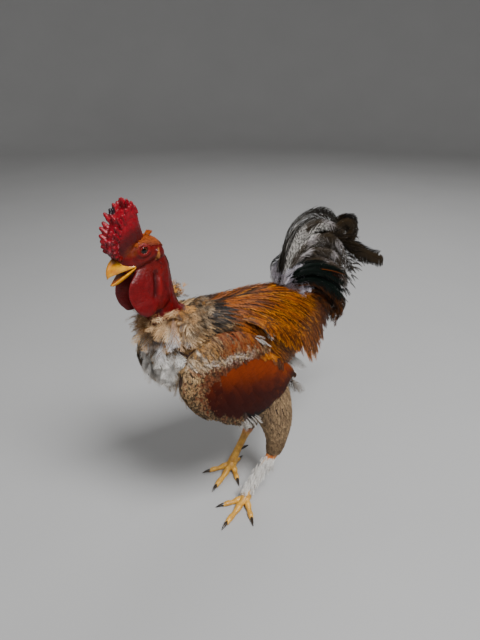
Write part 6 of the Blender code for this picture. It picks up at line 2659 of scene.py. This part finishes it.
@dataclass
class Studio:
    """Plain pale floor, soft lights and the photograph's viewpoint."""

    eye: tuple[float, float, float] = (0.51, -0.405, 0.61)
    azimuth: float = 51.0
    pitch: float = 26.0
    focal_px: float = 532.0

    def floor(self) -> Piece:
        """A round floor of matt pale paint that sweeps up far off, with the least mottling.

        Returns:
            The floor.
        """
        arc = np.linspace(0, math.pi / 2, 12)
        out = np.concatenate([[0.01, 1.0, 2.5, 3.6], 3.6 + 1.4 * np.sin(arc[1:]), [5.0]])
        rise = np.concatenate([[0.0] * 4, 1.4 - 1.4 * np.cos(arc[1:]), [3.4]])
        turn = np.linspace(0, 2 * math.pi, 96, endpoint=False)
        ways = beside(np.cos(turn), np.sin(turn), turn * 0)
        floor = Form(ways[None] * out[:, None, None] + vec(0, 0, 1) * rise[:, None, None]).solid("floor")
        bm = bmesh.new()
        bm.from_mesh(floor.data)
        lid = max(bm.faces, key=lambda face: face.calc_center_median().z)
        bmesh.ops.delete(bm, geom=[lid], context="FACES")
        bm.to_mesh(floor.data)
        bm.free()
        mat = bpy.data.materials.new("matt pale floor paint")
        mat.use_nodes = True
        tree = mat.node_tree
        place = add_node(tree, "ShaderNodeTexCoord")
        sockets = {"Vector": place.outputs["Object"], "Scale": 3.0, "Detail": 4.0}
        mottle = add_node(tree, "ShaderNodeTexNoise", sockets)
        sockets = {"Value": mottle.outputs[0], "To Min": 0.36, "To Max": 0.4}
        tone = add_node(tree, "ShaderNodeMapRange", sockets)
        tree.links.new(tone.outputs[0], tree.nodes["Principled BSDF"].inputs["Base Color"])
        tree.nodes["Principled BSDF"].inputs["Roughness"].default_value = 0.8
        floor.data.materials.append(mat)
        return floor

    def lamp(
        self, name: str, place: Sequence[float], aim: Sequence[float], size: float, power: float,
    ) -> None:
        """One soft square lamp.

        Args:
            name: Its name.
            place: Where it stands.
            aim: Where it points.
            size: Length of its sides.
            power: Its power in watts.
        """
        data = bpy.data.lights.new(name, "AREA")
        data.size = size
        data.energy = power
        lamp = bpy.data.objects.new(name, data)
        lamp.location = place
        lamp.rotation_euler = (Vector(aim) - Vector(place)).to_track_quat("-Z", "Y").to_euler()
        bpy.context.scene.collection.objects.link(lamp)

    def build(self, shift: Array) -> None:
        """Sets floor, lamps, sky and camera.

        Args:
            shift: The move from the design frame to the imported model.
        """
        self.floor()
        aim = (0.0, -0.05, 0.25)
        self.lamp("key", (1.3, -0.2, 2.3), aim, 0.9, 96.0)
        self.lamp("fill", (0.2, -2.2, 1.3), aim, 1.8, 11.0)
        self.lamp("rim", (-0.9, 1.6, 1.9), aim, 1.2, 18.0)
        world = bpy.data.worlds.new("studio air")
        world.use_nodes = True
        world.node_tree.nodes["Background"].inputs["Color"].default_value = (1.0, 0.98, 0.95, 1.0)
        world.node_tree.nodes["Background"].inputs["Strength"].default_value = 0.21
        bpy.context.scene.world = world
        data = bpy.data.cameras.new("photo view")
        data.sensor_width = 36.0
        data.lens = 36.0 * self.focal_px / 640.0
        camera = bpy.data.objects.new("photo view", data)
        a, p = math.radians(self.azimuth), math.radians(self.pitch)
        ahead = Vector((-math.sin(a) * math.cos(p), math.cos(a) * math.cos(p), -math.sin(p)))
        camera.location = Vector(self.eye) + Vector(shift)
        camera.rotation_euler = ahead.to_track_quat("-Z", "Y").to_euler()
        bpy.context.scene.collection.objects.link(camera)
        bpy.context.scene.camera = camera


@dataclass
class Rooster:
    """The whole bird, sub-assembly by sub-assembly.

    Attributes:
        perch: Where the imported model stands.
        stance: Side, heading of the middle toe in degrees, and place of foot and hock of each leg.
    """

    perch: Perch
    stance: Sequence[tuple] = ((Side.LEFT, 20.0, -0.01, 0.045), (Side.RIGHT, 24.0, 0.022, 0.058))

    def finishes(self) -> dict[str, Surface]:
        """Makes the materials of feather, skin, scale and horn.

        Returns:
            The materials by name.
        """
        kinds: dict[str, Finish] = {
            # Hackles: tight narrow vanes that throw a thin silky light along each shaft.
            "glossy": Keratin("glossy hackle keratin", 0.45, 0.0, 1.0, 0.3, pigment=1.2, gloss=0.16),
            # Secondaries and coverts: wide closed vanes, smooth as lacquer, their light broad and faint.
            "shield": Keratin("lacquered shield keratin", 0.48, 0.0, 0.9, 0.25, pigment=1.2, gloss=0.1),
            # Body feathers: barbs that part at the edge, so the light breaks up and nothing shines.
            "matt": Keratin("soft body keratin", 0.65, 0.0, 1.1, 0.4, pigment=1.15, gloss=0.2),
            # Tail: worn barbs that stand apart, dull, with a little light on the shafts.
            "tail": Keratin("frayed tail keratin", 0.5, 0.0, 1.0, 0.4, pigment=1.15, gloss=0.12),
            # Down: no hooks at all, so it takes light softly from all sides.
            "down": Keratin("loose down keratin", 0.85, 0.0, 1.2, 0.2, pigment=1.1, gloss=0.2),
            # Bare skin: blood-red and moist, with soft broken lights on its papillae.
            "bare": BareSkin("blood-filled bare skin", 0.45, 0.1, 1.3, 0.32, 1.42, (0.84, 1.12), 1.3, 0.35),
            # Leg scales: waxy plates, painted brighter on their crowns than in their seams, as highlight and
            # shade.
            "scales": Horn("leg scale keratin", 0.42, 0.15, 1.6, 0.25, span=(0.86, 1.1), pigment=1.0),
            # Bill, claws and spurs: worn smooth, so they carry the sharpest light but for the eyes.
            "horn": Horn("bill horn", 0.28, 0.4, 3.0, 0.1, span=(0.88, 1.08), pigment=1.0),
        }
        return {name: kind.make() for name, kind in kinds.items()}

    def settle(self, piece: Piece, finish: Surface, slot: str, nodes: Sequence[str]) -> None:
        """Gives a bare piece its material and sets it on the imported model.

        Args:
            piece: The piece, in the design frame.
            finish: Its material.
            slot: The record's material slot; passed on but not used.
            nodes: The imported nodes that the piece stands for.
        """
        piece.data.materials.append(finish)
        self.perch.settle(piece, slot, nodes)

    def bare_parts(self, body: Body, head: BareHead, rng: Chance, finishes: dict[str, Surface]) -> None:
        """Builds skin, eyes, bill and legs.

        Args:
            body: The flesh under the plumage.
            head: The bare head and neck.
            rng: The source of chance.
            finishes: The materials by name.
        """
        skin = fused("skin", [body.build(), head.build(rng)])
        pairs = [part + side.word for side in Side for part in ("wattle_", "earlobe_", "thigh_")]
        self.settle(skin, finishes["bare"], "bare_skin", ["head", "neck", "comb", "torso", *pairs])
        for side in Side:
            eye = Eye(side)
            self.settle(eye.build(), eye.finish(), "eye", ["eye_" + side.word])
        for upper, node in ((True, "bill_upper"), (False, "bill_lower")):
            self.settle(Bill().half(upper), finishes["horn"], "bill_horn", [node])
        for stance in self.stance:
            leg = Leg(*stance)
            word = leg.side.word
            self.settle(leg.build(), finishes["scales"], "leg_scale", ["shank_" + word, "foot_" + word])
            claws = [f"claw_{word}_{toe}" for toe in ("middle", "inner", "outer", "hind")]
            self.settle(leg.claws(), finishes["horn"], "claw_horn", [*claws, "spur_" + word])

    def dress(self) -> None:
        """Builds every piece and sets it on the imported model, inside out and front to back."""
        settle, rng, finishes = self.perch.settle, seeded(7), self.finishes()
        body, head = Body(), BareHead()
        self.bare_parts(body, head, rng, finishes)
        wear = (body, rng, finishes)
        back, fan = BackCoat(*wear), TailFan(*wear)
        settle(TrunkCoat(*wear).build(), "gold_feather")
        for piece in [*back.saddle(), back.cape()]:
            settle(piece, "gold_feather")
        for piece in WingCoat(*wear).build():
            settle(piece, "mahogany_feather", ["wing_" + piece.name.rsplit("_", 1)[1]])
        for side in Side:
            settle(ThighCoat(*wear).build(side), "stippled_feather")
        settle(fan.fan(), "tail_feather", ["tail"])
        settle(fan.stiff(), "tail_feather")
        settle(fan.coverts(), "tail_feather")
        settle(fan.fluff(), "cream_feather")
        settle(Ruff(*wear).build(), "cream_feather", ["ruff"])
        settle(LooseDown(*wear).build(), "cream_feather")
        settle(HeadHair(*wear, head).build(), "cream_feather")


def main() -> None:
    """Builds the bird and its studio."""
    logging.basicConfig(level=logging.INFO, format="%(message)s")
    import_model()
    perch = Perch.from_model()
    Studio().build(perch.shift)
    Rooster(perch).dress()


if __name__ == "__main__":
    main()
